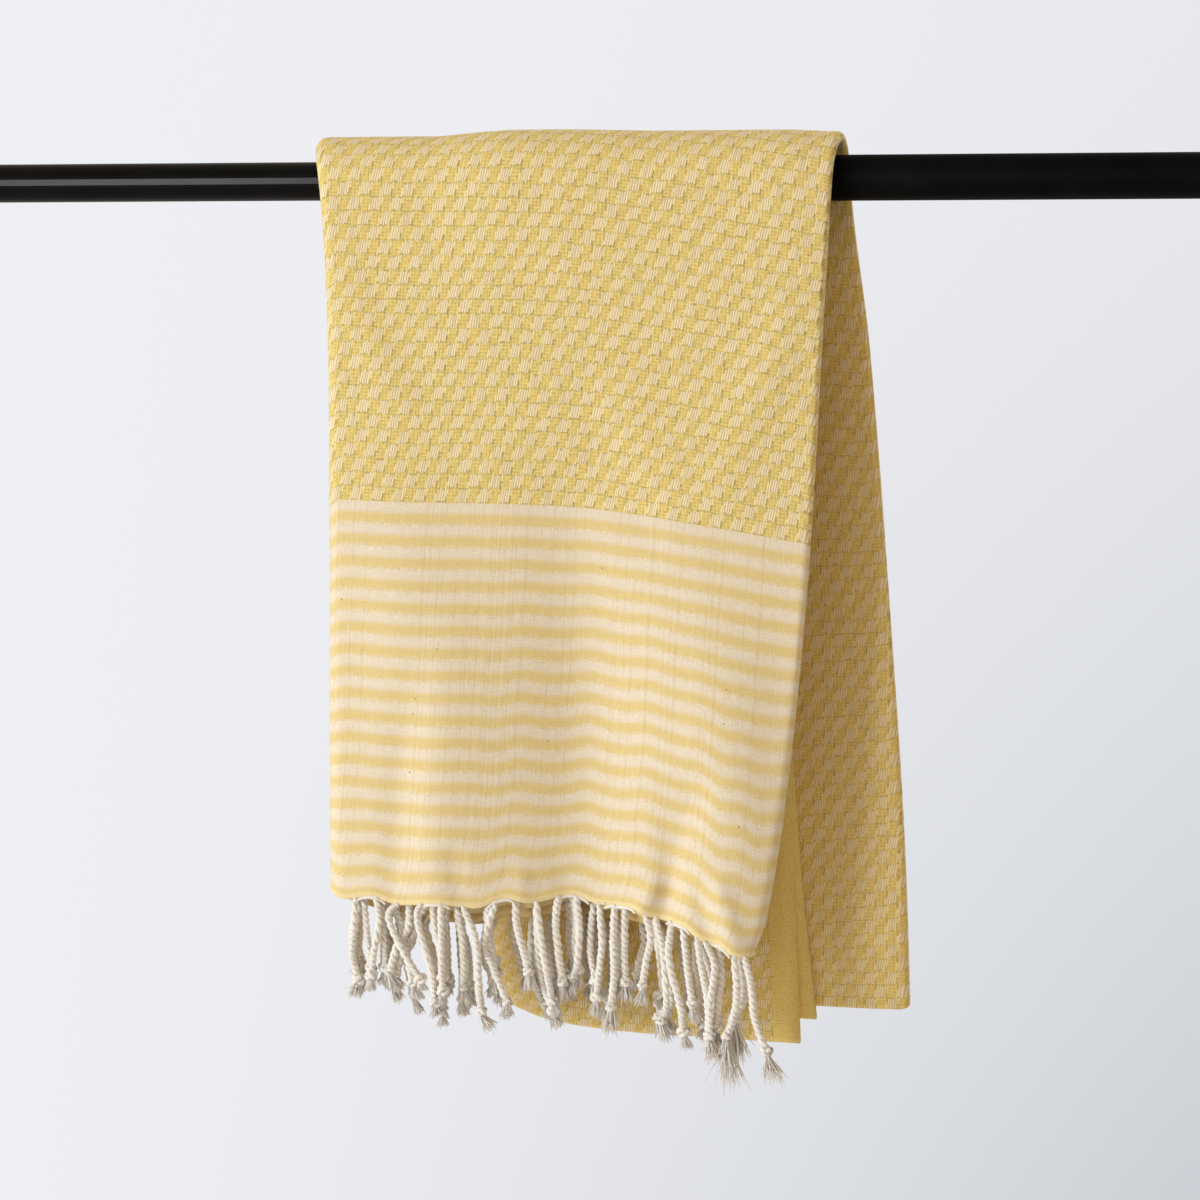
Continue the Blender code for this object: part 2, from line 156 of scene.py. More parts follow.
@dataclass(frozen=True)
class Knee:
    """One row of a two-column table: a value at a place."""
    at: float
    value: float


@dataclass(frozen=True)
class Turn:
    """What a place along the folded path adds to the front hem, and how deep its rear hangs."""
    column: int
    hem_drop: float
    rear_depth: float


@dataclass(frozen=True)
class HemLoop:
    """A weft thread that shows as a loop under the front hem, between two x."""
    x_left: float
    x_right: float


@dataclass(frozen=True)
class Route:
    """A fringe cord.

    root is its x. x_1 to x_4 are its sideways shifts and z_1 to z_4 its depths under the root: at a
    third, at two thirds, at the knot and at the tuft's tip. out is how far it stands proud.
    """
    root: float
    x_1: float
    x_2: float
    x_3: float
    x_4: float
    z_1: float
    z_2: float
    z_3: float
    z_4: float
    out: float = 0.0

    def sideways(self) -> np.ndarray:
        """Its shifts along x in metres, from the root to the tip."""
        return np.array([0, self.x_1, self.x_2, self.x_3, self.x_4]) * MM

    def down(self) -> np.ndarray:
        """Its depths in metres, from the root to the tip."""
        return np.array([0, self.z_1, self.z_2, self.z_3, self.z_4]) * MM


STATIONS = (
    Station("front hem", -420, 93, 241, 52, 60, 2.1, 8.1, 14.1, 20.1, 1.5, 0, 0, -4),
    Station("front above hem", -404, 98.5, 246.5, 54, 62, 2.1, 8, 13.8, 19.7, 1.47, 0, 0, -3),
    Station("front low", -320, 110.5, 259, 66, 70, 1.9, 7, 12.1, 17.2, 1.25, 0.3, 0, 2),
    Station("front half", -200, 121, 269.5, 78, 77, 1.6, 5.6, 9.6, 13.6, 1, 0.6, 0, 6),
    Station("front high", -70, 128, 278, 88, 82, 1.5, 5, 8.5, 12, 0.88, 0.9, 0, 1.8),
    Station("rail front", 0, 132, 287, 92, 84, 1.5, 4.9, 8.3, 11.7, 0.86, 1.2, 0, 0),
    Station("rail top", 30, 135, 295, 93, 85, 1.5, 4.9, 8.3, 11.7, 0.86, 1.2, 0, 0),
    Station("rail rear", 60, 136, 295, 94, 86, 1.5, 4.9, 8.3, 11.7, 0.86, 1.2, 0, 0),
    Station("rear high", 150, 147, 293, 98, 92, 1.6, 5.3, 9, 12.7, 0.95, 3, 10, 0),
    Station("rear half", 290, 158.5, 285, 103, 100, 1.8, 6.2, 10.3, 14.4, 1.1, 3.5, 36, -1),
    Station("rear low", 440, 168.5, 273, 107, 110, 2, 7.3, 11.8, 16.3, 1.3, 4, 66, -9),
    Station("rear bottom", 540, 172, 266, 111, 121, 2.1, 7.9, 12.6, 17.3, 1.45, 4, 76, -13),
)
HEM_ALONG = STATIONS[0].along * MM
HEM_HALF_GAP = STATIONS[0].half_gap * MM
REAR_RIGHT = STATIONS[-1].right * MM
REAR_LENGTH = STATIONS[-1].along * MM - LENGTH_OVER_RAIL
# Where the stack's inner face lies off the rail's axis, at x.
BED = (
    Knee(-90, 11.35), Knee(-46, 14.5), Knee(-26, 14.5), Knee(30, 13.3),
)
FRONT_HEM = (
    Knee(-150, -390), Knee(-137, -397.8), Knee(-122.5, -396), Knee(-107, -400), Knee(-85, -398.5),
    Knee(-64, -400.5), Knee(-48, -395.5), Knee(-36, -397.8), Knee(-15, -394), Knee(1, -398.5),
    Knee(17, -399), Knee(30, -403.5), Knee(51, -408.5), Knee(62, -415), Knee(73, -417.5),
    Knee(86, -423.5), Knee(93, -421.5),
)
# The front hem without its small waves, which fade out of the stripes above it.
EVEN_HEM = (
    Knee(-150, -395), Knee(-80, -399), Knee(-20, -398), Knee(30, -402.5), Knee(60, -412),
    Knee(93, -422.5),
)
# Where the checks end and the stripes begin in the front drop, as z at x.
STRIPES_TOP = (
    Knee(-150, -175.7), Knee(-135, -176), Knee(-113, -176.9), Knee(-91, -177.3), Knee(-46, -177.6),
    Knee(-24, -178.5), Knee(-2, -179.9), Knee(20, -182.3), Knee(42, -185.4), Knee(64, -188.8),
    Knee(86, -192.4), Knee(108, -196.1), Knee(150, -202),
)
# The share of a hidden panel's hem drop at x, which is most in the front hem's left half.
HEM_DROP_SHARE = (
    Knee(-140, 0.1), Knee(-126, 0.55), Knee(-110, 0.9), Knee(-10, 0.85), Knee(30, 0.6), Knee(60, 0.3),
    Knee(90, 0.2),
)
TURNS = (
    Turn(0, 13, 477), Turn(1, 13, 475), Turn(2, 0, 456), Turn(3, 0, 455), Turn(4, 4, 457),
    Turn(5, 4, 458), Turn(6, 11, 463), Turn(7, 11, 464),
)
# How much higher the rear bottom hangs, by the distance from the stack's left side.
REAR_RISE = (
    Knee(0, 16), Knee(40, 11.3), Knee(74, 6.4), Knee(126, 2.2), Knee(161, 0.8), Knee(205, 0),
)
FRONT_FOLDS = (
    Fold("left swell", -126, -88, 34, 8.4, 80, 320),
    Fold("middle valley", -14, -2, 30, -10.6, 80, 310),
    Fold("right ridge", 50, 80, 27, 6, 110, 380),
    Fold("left hollow", -92, -105, 12, -4.2, 200, 360),
    Fold("small hollow", 41, 45, 8, -1.8, 300, 390),
    Fold("right edge falls back", 122, 110, 20, -3.4, 120, 360),
)
REAR_FOLDS = (
    Fold("rear ridge", 40, 58, 32, 4.5, 100, 460),
    Fold("rear valley", 118, 140, 24, -3, 160, 460),
)
CREASES = (
    Crease("pucker by the small hollow", 41, -378, 28, -402, 4.6, 2.2),
    Crease("trough by the small hollow", 49, -380, 40, -406, 4.6, -1.4),
    Crease("trough beside the right ridge", 64, -310, 44, -394, 9, -2.6),
    Crease("pucker by the corner", 70, -372, 82, -414, 5.5, 2.4),
    Crease("trough by the corner", 58, -380, 71, -418, 4.8, -2.2),
    Crease("pucker by the left loops", -98, -374, -104, -402, 6, 1.2),
    Crease("trough under the left ridge", -76, -360, -70, -401, 6, -1.2),
    Crease("pucker left of the middle", -38, -372, -37, -400, 5, 1.2),
    Crease("trough in the middle", -16, -376, -12, -397, 7, -1),
    Crease("sag from the left top", -150, -40, -110, -120, 11, 1.2),
    Crease("sag from the right top", 128, -30, 80, -150, 13, 1.2),
    Crease("line above the stripes", -20, -90, 30, -190, 12, -1),
)
HEM_LOOPS = (
    HemLoop(-130, -114), HemLoop(-91.5, -76.2), HemLoop(-56, -41), HemLoop(-19.8, -1.4), HemLoop(7.6, 26),
    HemLoop(43, 57.1), HemLoop(65.9, 80.3),
)
FRONT_CORDS = (
    Route(-130.8, -1.2, -2.1, 1.3, -1.4, 19.6, 31.9, 45.3, 54.3),
    Route(-119.4, 1.9, -1.3, -2.5, -3.1, 12.8, 31.9, 43.1, 51, 0.3),
    Route(-106.9, -5.1, 3.3, 13, 15.2, 6.5, 25, 40.3, 45.8, 2.4),
    Route(-92.9, -2.6, 5.3, 7.3, 7.5, 8.2, 36.6, 53.9, 60.9, 0.4),
    Route(-82.4, 0.5, 0.8, 1.6, 1.6, 15.6, 32.8, 47.3, 53.8, 1.8),
    Route(-71.1, 7.9, 9.5, 11.2, 17.4, 18.7, 42.7, 57.5, 66, 1),
    Route(-53.6, -6.3, -1.8, 6.7, 6.7, 23, 35, 54.8, 63, 1.2),
    Route(-32.9, 4.1, 7.7, 9.4, 13.6, 27.6, 45.8, 54, 61.3, 0.2),
    Route(-21.7, -1.5, 0.1, 2.4, 1.8, 12.8, 29.9, 46.5, 56.8, 1),
    Route(-13.1, 2.2, 1.1, -1.7, -1.7, 16.5, 37.6, 46, 54.6, 0.2),
    Route(0.3, 1.7, 0, -1.1, -2.8, 20.9, 39.8, 51.5, 60.3, 0.8),
    Route(9.3, -0.6, 0, -1.7, -2.8, 19.3, 38.1, 55.3, 70.2, 1.4),
    Route(32.6, 4.5, 6.7, 3.9, 7.8, 18.1, 47.8, 56.2, 67, 0.6),
    Route(42.6, -1.6, 5.1, 6.7, 9.5, 19.3, 46.3, 59.9, 68.4, 1.6),
    Route(59.3, 2.8, 6.1, 6.7, 7.9, 16.4, 34.5, 53.2, 61.8, 0.2),
    Route(64.3, 5.6, 3.4, 3.4, 6.8, 12.5, 32.9, 50.9, 64.9, 2),
    Route(82.5, 1.7, 0.1, -3.8, -2, 18.6, 32.4, 42.8, 71.8, 0.6),
    Route(88, 3.9, 6.1, 12.8, 18.3, 14.7, 32.8, 50.7, 66.2, 1.4),
)
SECOND_CORDS = (
    Route(-127.3, 1.7, 2.8, 4.4, 3.3, 14.5, 25.7, 38.7, 47.5),
    Route(-116.7, 0.2, 1.3, 1.9, 2.4, 14.8, 28.7, 38, 46.7),
    Route(-110.8, 5.8, 8.2, 11.3, 15.8, 15.2, 29.8, 44.3, 53.2),
    Route(-101.1, -0.6, -6.9, -11, -8.1, 12.9, 22.6, 37.8, 46.9),
    Route(-88, 2, 5, 6, 5, 14, 29, 41, 50),
    Route(-75.2, 3.4, 4.5, 4.1, 5.8, 17.2, 32.2, 45, 54.3),
    Route(-58.5, 0, 2.2, 4.5, 5, 14.7, 28.4, 39, 48.1),
    Route(-43.8, 0.5, 3.9, 7.3, 7.8, 13.9, 26.6, 39.3, 48.9),
    Route(-33.6, 1.6, 5, 10.1, 13.4, 30.5, 48.4, 59.7, 67.2),
    Route(-16, 3, 2, 4, 3, 14, 28, 41, 50),
    Route(-3, -2, -2, 1, 2, 15, 30, 43, 52),
    Route(14.5, 0, 0, 0.6, 1.7, 15.7, 28.8, 41.7, 52.3),
    Route(27.1, 2.8, 0, -1.6, -2.2, 13.7, 27.6, 40, 49.6),
    Route(48.9, 1.7, 3.4, 5.6, 7.8, 15.4, 29.1, 43.2, 52.3),
    Route(71.9, 1.7, 0.1, -1, -1.6, 15.9, 31.4, 45.6, 54.9),
)


def ease(share: np.ndarray) -> np.ndarray:
    """Smooth step from 0 to 1: 3 share² − 2 share³."""
    share = np.clip(share, 0.0, 1.0)
    return share * share * (3.0 - 2.0 * share)


def bell(offset: np.ndarray) -> np.ndarray:
    """Bell curve: e to the power of −offset²."""
    return np.exp(-(offset ** 2))


def smooth_read(places: Sequence[float], values: Sequence[float], at: np.ndarray) -> np.ndarray:
    """Reads a table with a cubic that never overshoots its rows.

    Args:
        places: The rows' places, rising.
        values: The rows' values.
        at: Where to read.

    Returns:
        The values there. The slope at a row is the harmonic mean of the slopes on its two sides, or
        0 at a peak.
    """
    places, values = np.asarray(places, float), np.asarray(values, float)
    steps = np.diff(places)
    rises = np.diff(values) / steps
    slopes = np.concatenate([rises[:1], np.zeros(len(rises) - 1), rises[-1:]])
    product = rises[:-1] * rises[1:]
    total = np.where(product > 0, rises[:-1] + rises[1:], 1.0)
    slopes[1:-1] = np.where(product > 0, 2 * product / total, 0.0)
    at = np.clip(at, places[0], places[-1])
    row = np.clip(np.searchsorted(places, at, side="right") - 1, 0, len(steps) - 1)
    step = steps[row]
    t = (at - places[row]) / step
    start = values[row] * (1 + 2 * t) * (1 - t) ** 2 + slopes[row] * step * t * (1 - t) ** 2
    end = values[row + 1] * t * t * (3 - 2 * t) + slopes[row + 1] * step * t * t * (t - 1)
    return start + end


def read_knees(rows: Sequence[Knee], at: np.ndarray, unit: float = MM) -> np.ndarray:
    """Reads a table of knees smoothly, where unit is what its values are counted in."""
    return unit * smooth_read([row.at for row in rows], [row.value for row in rows], at / MM)


def drops(row: np.ndarray) -> tuple[np.ndarray, np.ndarray, np.ndarray]:
    """Splits rows 0 to 3 into their shares down the front, over the rail and down the rear."""
    return np.clip(1 - row, 0, 1), np.clip(row - 1, 0, 1), np.clip(row - 2, 0, 1)


@dataclass(frozen=True)
class FoldedPath:
    """Places on the doubled sheet's path across the stack, and its normal there."""
    across: np.ndarray
    height: np.ndarray
    normal_across: np.ndarray
    normal_up: np.ndarray


class Drape:
    """The way the folded cloth hangs, as a map from the sheet's own grid to the frame."""

    def station(self, name: str, along: np.ndarray) -> np.ndarray:
        """Reads one column of the stations, in metres or degrees, at places along the stack."""
        values = [getattr(row, name) * (1.0 if name == "curl" else MM) for row in STATIONS]
        return smooth_read([row.along * MM for row in STATIONS], values, along)

    def turn(self, name: str, column: np.ndarray) -> np.ndarray:
        """Reads one column of the turns, in metres, at places along the folded path."""
        values = [getattr(row, name) * MM for row in TURNS]
        return np.interp(column, [row.column for row in TURNS], values)

    def path(self, column: np.ndarray, along: np.ndarray) -> FoldedPath:
        """Follows the doubled sheet across the stack.

        Args:
            column: 0 to 7 for panel 1, turn, panel 2, turn, panel 3, turn, panel 4.
            along: Places along the stack.

        Returns:
            The distance from the stack's left side, the height over its inner face and the normal
            towards the outer ply. Panels are straight and turns are half circles.
        """
        mid = [self.station(f"mid_{panel}", along) for panel in (1, 2, 3, 4)]
        half_gap, width = self.station("half_gap", along), self.station("width", along)
        wrap, small, inner = (mid[1] - mid[0]) / 2, (mid[1] - mid[2]) / 2, (mid[2] - mid[3]) / 2
        left = wrap + half_gap + THICKNESS / 2
        right = width - (small + half_gap + THICKNESS / 2)
        from_right = self.station("right", along) - width
        edge_1 = self.station("edge_1", along) - from_right
        edge_4 = self.station("edge_4", along) - from_right
        piece = np.clip(np.floor(column), 0, COLUMN_END - 1)
        share = column - piece
        sine, cosine, flat = np.sin(share * pi), np.cos(share * pi), np.zeros_like(share)
        across = [
            edge_1 + (left - edge_1) * share, left - wrap * sine, left + (right - left) * share,
            right + small * sine, right + (left - right) * share, left - inner * sine,
            left + (edge_4 - left) * share,
        ]
        height = [
            mid[0] + flat, (mid[0] + mid[1]) / 2 - wrap * cosine, mid[1] + flat,
            (mid[1] + mid[2]) / 2 + small * cosine, mid[2] + flat,
            (mid[2] + mid[3]) / 2 + inner * cosine, mid[3] + flat,
        ]
        normal_across = [flat, -sine, flat, sine, flat, sine, flat]
        normal_up = [flat - 1, -cosine, flat + 1, cosine, flat - 1, -cosine, flat + 1]
        pick = [piece == index for index in range(COLUMN_END)]
        across, height = np.select(pick, across), np.select(pick, height)
        last_edge = np.maximum(edge_1, edge_4) + SELVEDGE_CLEAR
        settled = ease((across - last_edge) / np.maximum(right - last_edge, THICKNESS))
        wide = (piece >= 2) & (piece <= 4)
        height = height - np.where(wide, self.station("sink", along) * settled, 0.0)
        return FoldedPath(across, height, np.select(pick, normal_across), np.select(pick, normal_up))

    def place_across(
        self, across: np.ndarray, along: np.ndarray,
    ) -> tuple[np.ndarray, np.ndarray, np.ndarray]:
        """Lays the stack's inner face flat or curled.

        Args:
            across: Distances from the stack's left side.
            along: Places along the stack.

        Returns:
            x, how far it is curled to the rear, and the curl's angle. The left part is an arc.
        """
        width, right = self.station("width", along), self.station("right", along)
        curl = np.maximum(np.radians(self.station("curl", along)), SMALLEST_CURL)
        angle = curl * np.maximum(CURL_LENGTH - across, 0.0) / CURL_LENGTH
        radius = CURL_LENGTH / curl
        flat_x = right - (width - np.maximum(across, CURL_LENGTH))
        return flat_x - radius * np.sin(angle), radius * (1 - np.cos(angle)), angle

    def x_at(self, column: np.ndarray, along: np.ndarray) -> np.ndarray:
        """Finds the x of places on the folded path."""
        return self.place_across(self.path(column, along).across, along)[0]

    def hem_x(self, column: np.ndarray) -> np.ndarray:
        """Finds the x of columns at the front hem."""
        return self.x_at(column, np.full(np.shape(column), HEM_ALONG))

    def hem_z(self, column: np.ndarray) -> np.ndarray:
        """Finds the front hem's z under each column: hidden panels hang a little lower."""
        x = self.hem_x(column)
        return read_knees(FRONT_HEM, x) - self.turn("hem_drop", column) * read_knees(HEM_DROP_SHARE, x, 1.0)

    def rear_depth(self, column: np.ndarray, across: np.ndarray) -> np.ndarray:
        """Reads the rear bottom's depth under the rail, at columns and distances from the left side."""
        return self.turn("rear_depth", column) - read_knees(REAR_RISE, across)

    def folds(self, rows: Sequence[Fold], x: np.ndarray, depth: np.ndarray) -> np.ndarray:
        """Adds up the soft folds of one drop.

        Args:
            rows: Its folds.
            x: Places across.
            depth: Depths under the rail.

        Returns:
            How far the stack is pushed outwards, each fold a bell curve that grows downwards.
        """
        x, depth = x / MM, depth / MM
        out = np.zeros(np.broadcast(x, depth).shape)
        for fold in rows:
            grown = ease((depth - fold.begins) / (fold.ends - fold.begins))
            middle = fold.x_high + (fold.x_low - fold.x_high) * grown
            out = out + fold.height * grown * bell((x - middle) / fold.half_width)
        return out * MM

    def creases(self, x: np.ndarray, z: np.ndarray) -> np.ndarray:
        """Adds up the small creases of the front drop.

        Args:
            x: Places across.
            z: Heights.

        Returns:
            How far the cloth is pushed outwards: a bell curve across each crease, which rises from
            its first end and fades past its second.
        """
        x, z = x / MM, z / MM
        out = np.zeros(np.broadcast(x, z).shape)
        for crease in CREASES:
            step = np.array([crease.x_low - crease.x_high, crease.z_low - crease.z_high])
            length = np.hypot(*step)
            along = ((x - crease.x_high) * step[0] + (z - crease.z_high) * step[1]) / length ** 2
            beside = ((x - crease.x_high) * step[1] - (z - crease.z_high) * step[0]) / length
            fade = ease(along / CREASE_RISE) * ease((1 + CREASE_FADE - along) / CREASE_FADE)
            out = out + crease.height * fade * bell(beside / crease.half_width)
        return out * MM

    def hang(self, column: np.ndarray, row: np.ndarray, offset: np.ndarray, below: np.ndarray) -> np.ndarray:
        """Places points of the cloth.

        Args:
            column: 0 to 7, along the folded path.
            row: 0 to 1 up the front drop, 1 to 2 over the rail, 2 to 3 down the rear drop.
            offset: Distance from the doubled sheet's middle along its normal.
            below: Extra drop.

        Returns:
            Points, with x, y and z last. The stack's inner face is a half circle over the rail and
            straight below it, pushed outwards by folds, creases and the hem's roll.
        """
        column, row = np.broadcast_arrays(column, row)
        front, over, rear = drops(row)
        rail_along = over * LENGTH_OVER_RAIL
        depth = self.rear_depth(column, self.path(column, rail_along).across) * rear
        hem_z = self.hem_z(column)
        front_z = hem_z * front
        along = np.where(row < 1, front_z, rail_along + depth)
        path = self.path(column, along)
        height = path.height + offset * path.normal_up
        x, back, angle = self.place_across(path.across + offset * path.normal_across, along)
        bed = read_knees(BED, x)
        bed = bed + (BED_HANGING - bed) * ease(np.maximum(-front_z, depth) / BED_FADE)
        swell = self.folds(FRONT_FOLDS, x, -front_z) + self.folds(REAR_FOLDS, x, depth)
        roll = HEM_ROLL * bell((front_z - hem_z) / HEM_ROLL_HEIGHT - 1)
        swell = swell + np.where(row < 1, self.creases(x, front_z) + roll, 0.0)
        reach = bed + swell + height * np.where(row > 2, np.cos(angle), 1.0)
        y = -reach * np.cos(over * pi) + back
        z = reach * np.sin(over * pi) + front_z - depth - below
        x = x + np.where(row > 2, height * np.sin(angle), 0.0)
        return np.stack([RAIL_MIDDLE + x, y, z], axis=-1)


def grid_faces(wide: int, tall: int, start: int = 0, turned: bool = False) -> np.ndarray:
    """Quads of a grid of points.

    Args:
        wide: Its points across.
        tall: Its points along.
        start: The first point's number.
        turned: Whether the faces look the other way.

    Returns:
        One row of four point numbers a quad.
    """
    number = start + np.arange(wide * tall).reshape(wide, tall)
    corners = [number[:-1, :-1], number[1:, :-1], number[1:, 1:], number[:-1, 1:]]
    quads = np.stack(corners, axis=-1).reshape(-1, 4)
    return quads[:, ::-1] if turned else quads


def dress(item: bpy.types.Object, material: bpy.types.Material) -> None:
    """Gives an object one material."""
    item.data.materials.clear()
    item.data.materials.append(material)


def mesh_object(
    name: str, points: np.ndarray, faces: np.ndarray, material: bpy.types.Material,
) -> bpy.types.Object:
    """Makes a smooth object in the frame and dresses it.

    Args:
        name: Its name.
        points: Its points.
        faces: Its faces, all with the same number of corners.
        material: Its material.

    Returns:
        The object, at the origin.
    """
    mesh = bpy.data.meshes.new(name)
    corners = faces.shape[1]
    mesh.vertices.add(len(points))
    mesh.vertices.foreach_set("co", np.ascontiguousarray(points, np.float32).ravel())
    mesh.loops.add(faces.size)
    mesh.loops.foreach_set("vertex_index", np.ascontiguousarray(faces, np.int32).ravel())
    mesh.polygons.add(len(faces))
    mesh.polygons.foreach_set("loop_start", np.arange(0, faces.size, corners, dtype=np.int32))
    mesh.update(calc_edges=True)
    mesh.validate()
    mesh.shade_smooth()
    item = bpy.data.objects.new(name, mesh)
    bpy.context.collection.objects.link(item)
    dress(item, material)
    return item


def set_uv(mesh: bpy.types.Mesh, name: str, values: np.ndarray) -> None:
    """Gives a mesh a UV map.

    Args:
        mesh: The mesh.
        name: The map's name.
        values: One pair a point.
    """
    corners = np.empty(len(mesh.loops), np.int32)
    mesh.loops.foreach_get("vertex_index", corners)
    layer = mesh.uv_layers.new(name=name)
    layer.data.foreach_set("uv", np.ascontiguousarray(values[corners], np.float32).ravel())


@dataclass
class TowelCloth:
    """The towel's one sheet: two skins a thickness apart, closed along its edges.

    least_rear is the least length of pattern that the rear drop gets. The panels outside
    shown_columns lie hidden behind panel 2.
    """
    drape: Drape
    fine_panel: int = 92
    hidden_panel: int = 22
    turn_cells: tuple = (12, 9, 6)
    front_cells: int = 128
    hem_share: float = 0.016
    hem_cells: int = 8
    rail_cells: int = 26
    rear_cells: int = 34
    hidden_drop: int = 14
    bottom_cells: int = 5
    shown_columns: tuple = (1.0, 3.6)
    least_rear: float = 0.4

    def columns(self) -> np.ndarray:
        """Works out the grid's columns along the folded path.

        Returns:
            The columns, rising, and close together on panel 2, which faces outwards.
        """
        cells = (
            self.hidden_panel, self.turn_cells[0], self.fine_panel, self.turn_cells[1],
            self.hidden_panel * 2, self.turn_cells[2], self.hidden_panel,
        )
        pieces = [piece + np.linspace(0, 1, count + 1) for piece, count in enumerate(cells)]
        return np.unique(np.concatenate(pieces))

    def rows(self) -> tuple[np.ndarray, np.ndarray]:
        """Works out the grid's rows: the outer ply to the rear bottom, and the inner ply back.

        Returns:
            The rows, close together at the hem, and the angle of each about the hairpin at the rear
            bottom.
        """
        outer = np.unique(np.concatenate([
            np.linspace(0, self.hem_share, self.hem_cells + 1),
            np.linspace(self.hem_share, 1, self.front_cells + 1),
            1 + np.linspace(0, 1, self.rail_cells + 1),
            2 + np.linspace(0, 1, self.rear_cells + 1),
        ]))
        hidden = np.linspace(0, 1, self.hidden_drop + 1)
        inner = np.unique(np.concatenate([hidden, 1 + hidden[::2], 2 + hidden]))[::-1]
        turn = np.linspace(0, pi, self.bottom_cells + 1)[1:-1]
        row = np.concatenate([outer, np.full(len(turn), outer[-1]), inner])
        angle = np.concatenate([np.zeros(len(outer)), turn, np.full(len(inner), pi)])
        return row, angle

    def skin(self, column: np.ndarray, row: np.ndarray, angle: np.ndarray, side: int) -> np.ndarray:
        """One face of the sheet.

        Args:
            column: The grid's columns.
            row: The grid's rows.
            angle: Each row's angle about the hairpin.
            side: 1 for the outer face, -1 for the inner one.

        Returns:
            The grid's points, half the plies' gap and half a thickness off the doubled sheet's
            middle, and turned about it at the hairpin.
        """
        front, over, rear = drops(row)
        along = HEM_ALONG * front + LENGTH_OVER_RAIL * over + REAR_LENGTH * rear
        reach = self.drape.station("half_gap", along) + side * THICKNESS / 2
        return self.drape.hang(column, row, reach * np.cos(angle), reach * np.sin(angle))

    def weave_places(
        self, column: np.ndarray, row: np.ndarray, angle: np.ndarray,
    ) -> tuple[np.ndarray, np.ndarray]:
        """Where the grid's points lie on the flat cloth.

        Args:
            column: The grid's columns.
            row: The grid's rows.
            angle: Each row's angle about the hairpin.

        Returns:
            Pairs of place across and along the cloth in metres, and pairs of distance from the
            nearer selvedge and 1 where the cloth is hidden in the stack, else 0. Across is the
            path's length from the right fold. Along is 0 at the hem and STRIPED_END where the
            checks end, and the hem's waves die out above it.
        """
        drape = self.drape
        front, over, rear = drops(row)
        hem_z = drape.hem_z(column)
        front_z = hem_z * front
        along = np.where(row < 1, front_z, over * LENGTH_OVER_RAIL + rear * REAR_LENGTH)
        path = drape.path(column, along)
        step = np.hypot(np.diff(path.across, axis=0), np.diff(path.height, axis=0))
        run = np.concatenate([np.zeros((1, step.shape[1])), np.cumsum(step, axis=0)])
        fold = np.argmin(np.abs(column[:, 0] - RIGHT_FOLD))
        across = (run - run[fold] + drape.station("slip", along)) * (1 - FAN * front_z)
        edge = np.minimum(run, run[-1] - run)

        x = drape.place_across(path.across, along)[0]
        top = read_knees(STRIPES_TOP, x) - drape.turn("hem_drop", column)
        even_hem = hem_z + read_knees(EVEN_HEM, x) - read_knees(FRONT_HEM, x)
        over_hem = front_z - hem_z
        wave = (hem_z - even_hem) * (1 - ease(over_hem / HEM_WAVE_HEIGHT))
        sag = SAG_DEPTH * bell((x - SAG_X) / SAG_WIDTH)
        sag = sag * ease(over_hem / SAG_HEM_FADE) * ease((top - front_z) / SAG_TOP_FADE)
        below = (front_z - even_hem - wave) * STRIPED_END / (top - even_hem) + sag
        length = np.where(front_z < top, below, STRIPED_END + front_z - top)
        length = length + over * pi * (BED_HANGING + path.height)
        length = length + rear * np.maximum(WOVEN_LENGTH / 2 - length, self.least_rear)
        slant = REAR_SKEW * ease(rear / SKEW_RISE) * ease((1 - rear) / SKEW_FADE)
        length = length + slant * (x - REAR_RIGHT)

        inward = angle > pi / 2
        length = np.where(inward, WOVEN_LENGTH - length, length)
        hidden = inward | (column < self.shown_columns[0]) | (column > self.shown_columns[1])
        cloth = np.stack([across, length], axis=-1).reshape(-1, 2)
        return cloth, np.stack([edge, np.where(hidden, 1.0, 0.0)], axis=-1).reshape(-1, 2)

    def build(self, material: bpy.types.Material) -> bpy.types.Object:
        """Makes the sheet.

        Args:
            material: Its material.

        Returns:
            Its object, with the maps "cloth" and "selvedge".
        """
        row, angle = self.rows()
        column, row = np.meshgrid(self.columns(), row, indexing="ij")
        angle = np.broadcast_to(angle, row.shape)
        wide, tall = row.shape
        points = [self.skin(column, row, angle, side).reshape(-1, 3) for side in (1, -1)]
        number = np.arange(wide * tall).reshape(wide, tall)
        rim = np.concatenate([number[:, 0], number[-1, 1:], number[-2::-1, -1], number[0, -2:0:-1]])
        after, back = np.roll(rim, -1), wide * tall
        faces = np.concatenate([
            grid_faces(wide, tall), grid_faces(wide, tall, back, True),
            np.stack([after, rim, rim + back, after + back], axis=-1),
        ])
        towel = mesh_object("towel", np.concatenate(points), faces, material)
        for name, values in zip(("cloth", "selvedge"), self.weave_places(column, row, angle)):
            set_uv(towel.data, name, np.tile(values, (2, 1)))
        return towel


def curve_points(knots: np.ndarray, at: np.ndarray) -> np.ndarray:
    """Runs a smooth curve through points.

    Args:
        knots: Points of several curves, as curve, point, x y z.
        at: Places between 0 and the last point's number.

    Returns:
        Points, as curve, place, x y z. Between two knots each is a Catmull-Rom cubic.
    """
    before, after = 2 * knots[:, :1] - knots[:, 1:2], 2 * knots[:, -1:] - knots[:, -2:-1]
    padded = np.concatenate([before, knots, after], axis=1)
    piece = np.clip(np.floor(at).astype(int), 0, knots.shape[1] - 2)
    t = (at - piece)[None, :, None]
    a, b, c, d = (padded[:, piece + shift] for shift in range(4))
    square, cube = 2 * a - 5 * b + 4 * c - d, 3 * b - a - 3 * c + d
    return 0.5 * (2 * b + (c - a) * t + square * t ** 2 + cube * t ** 3)


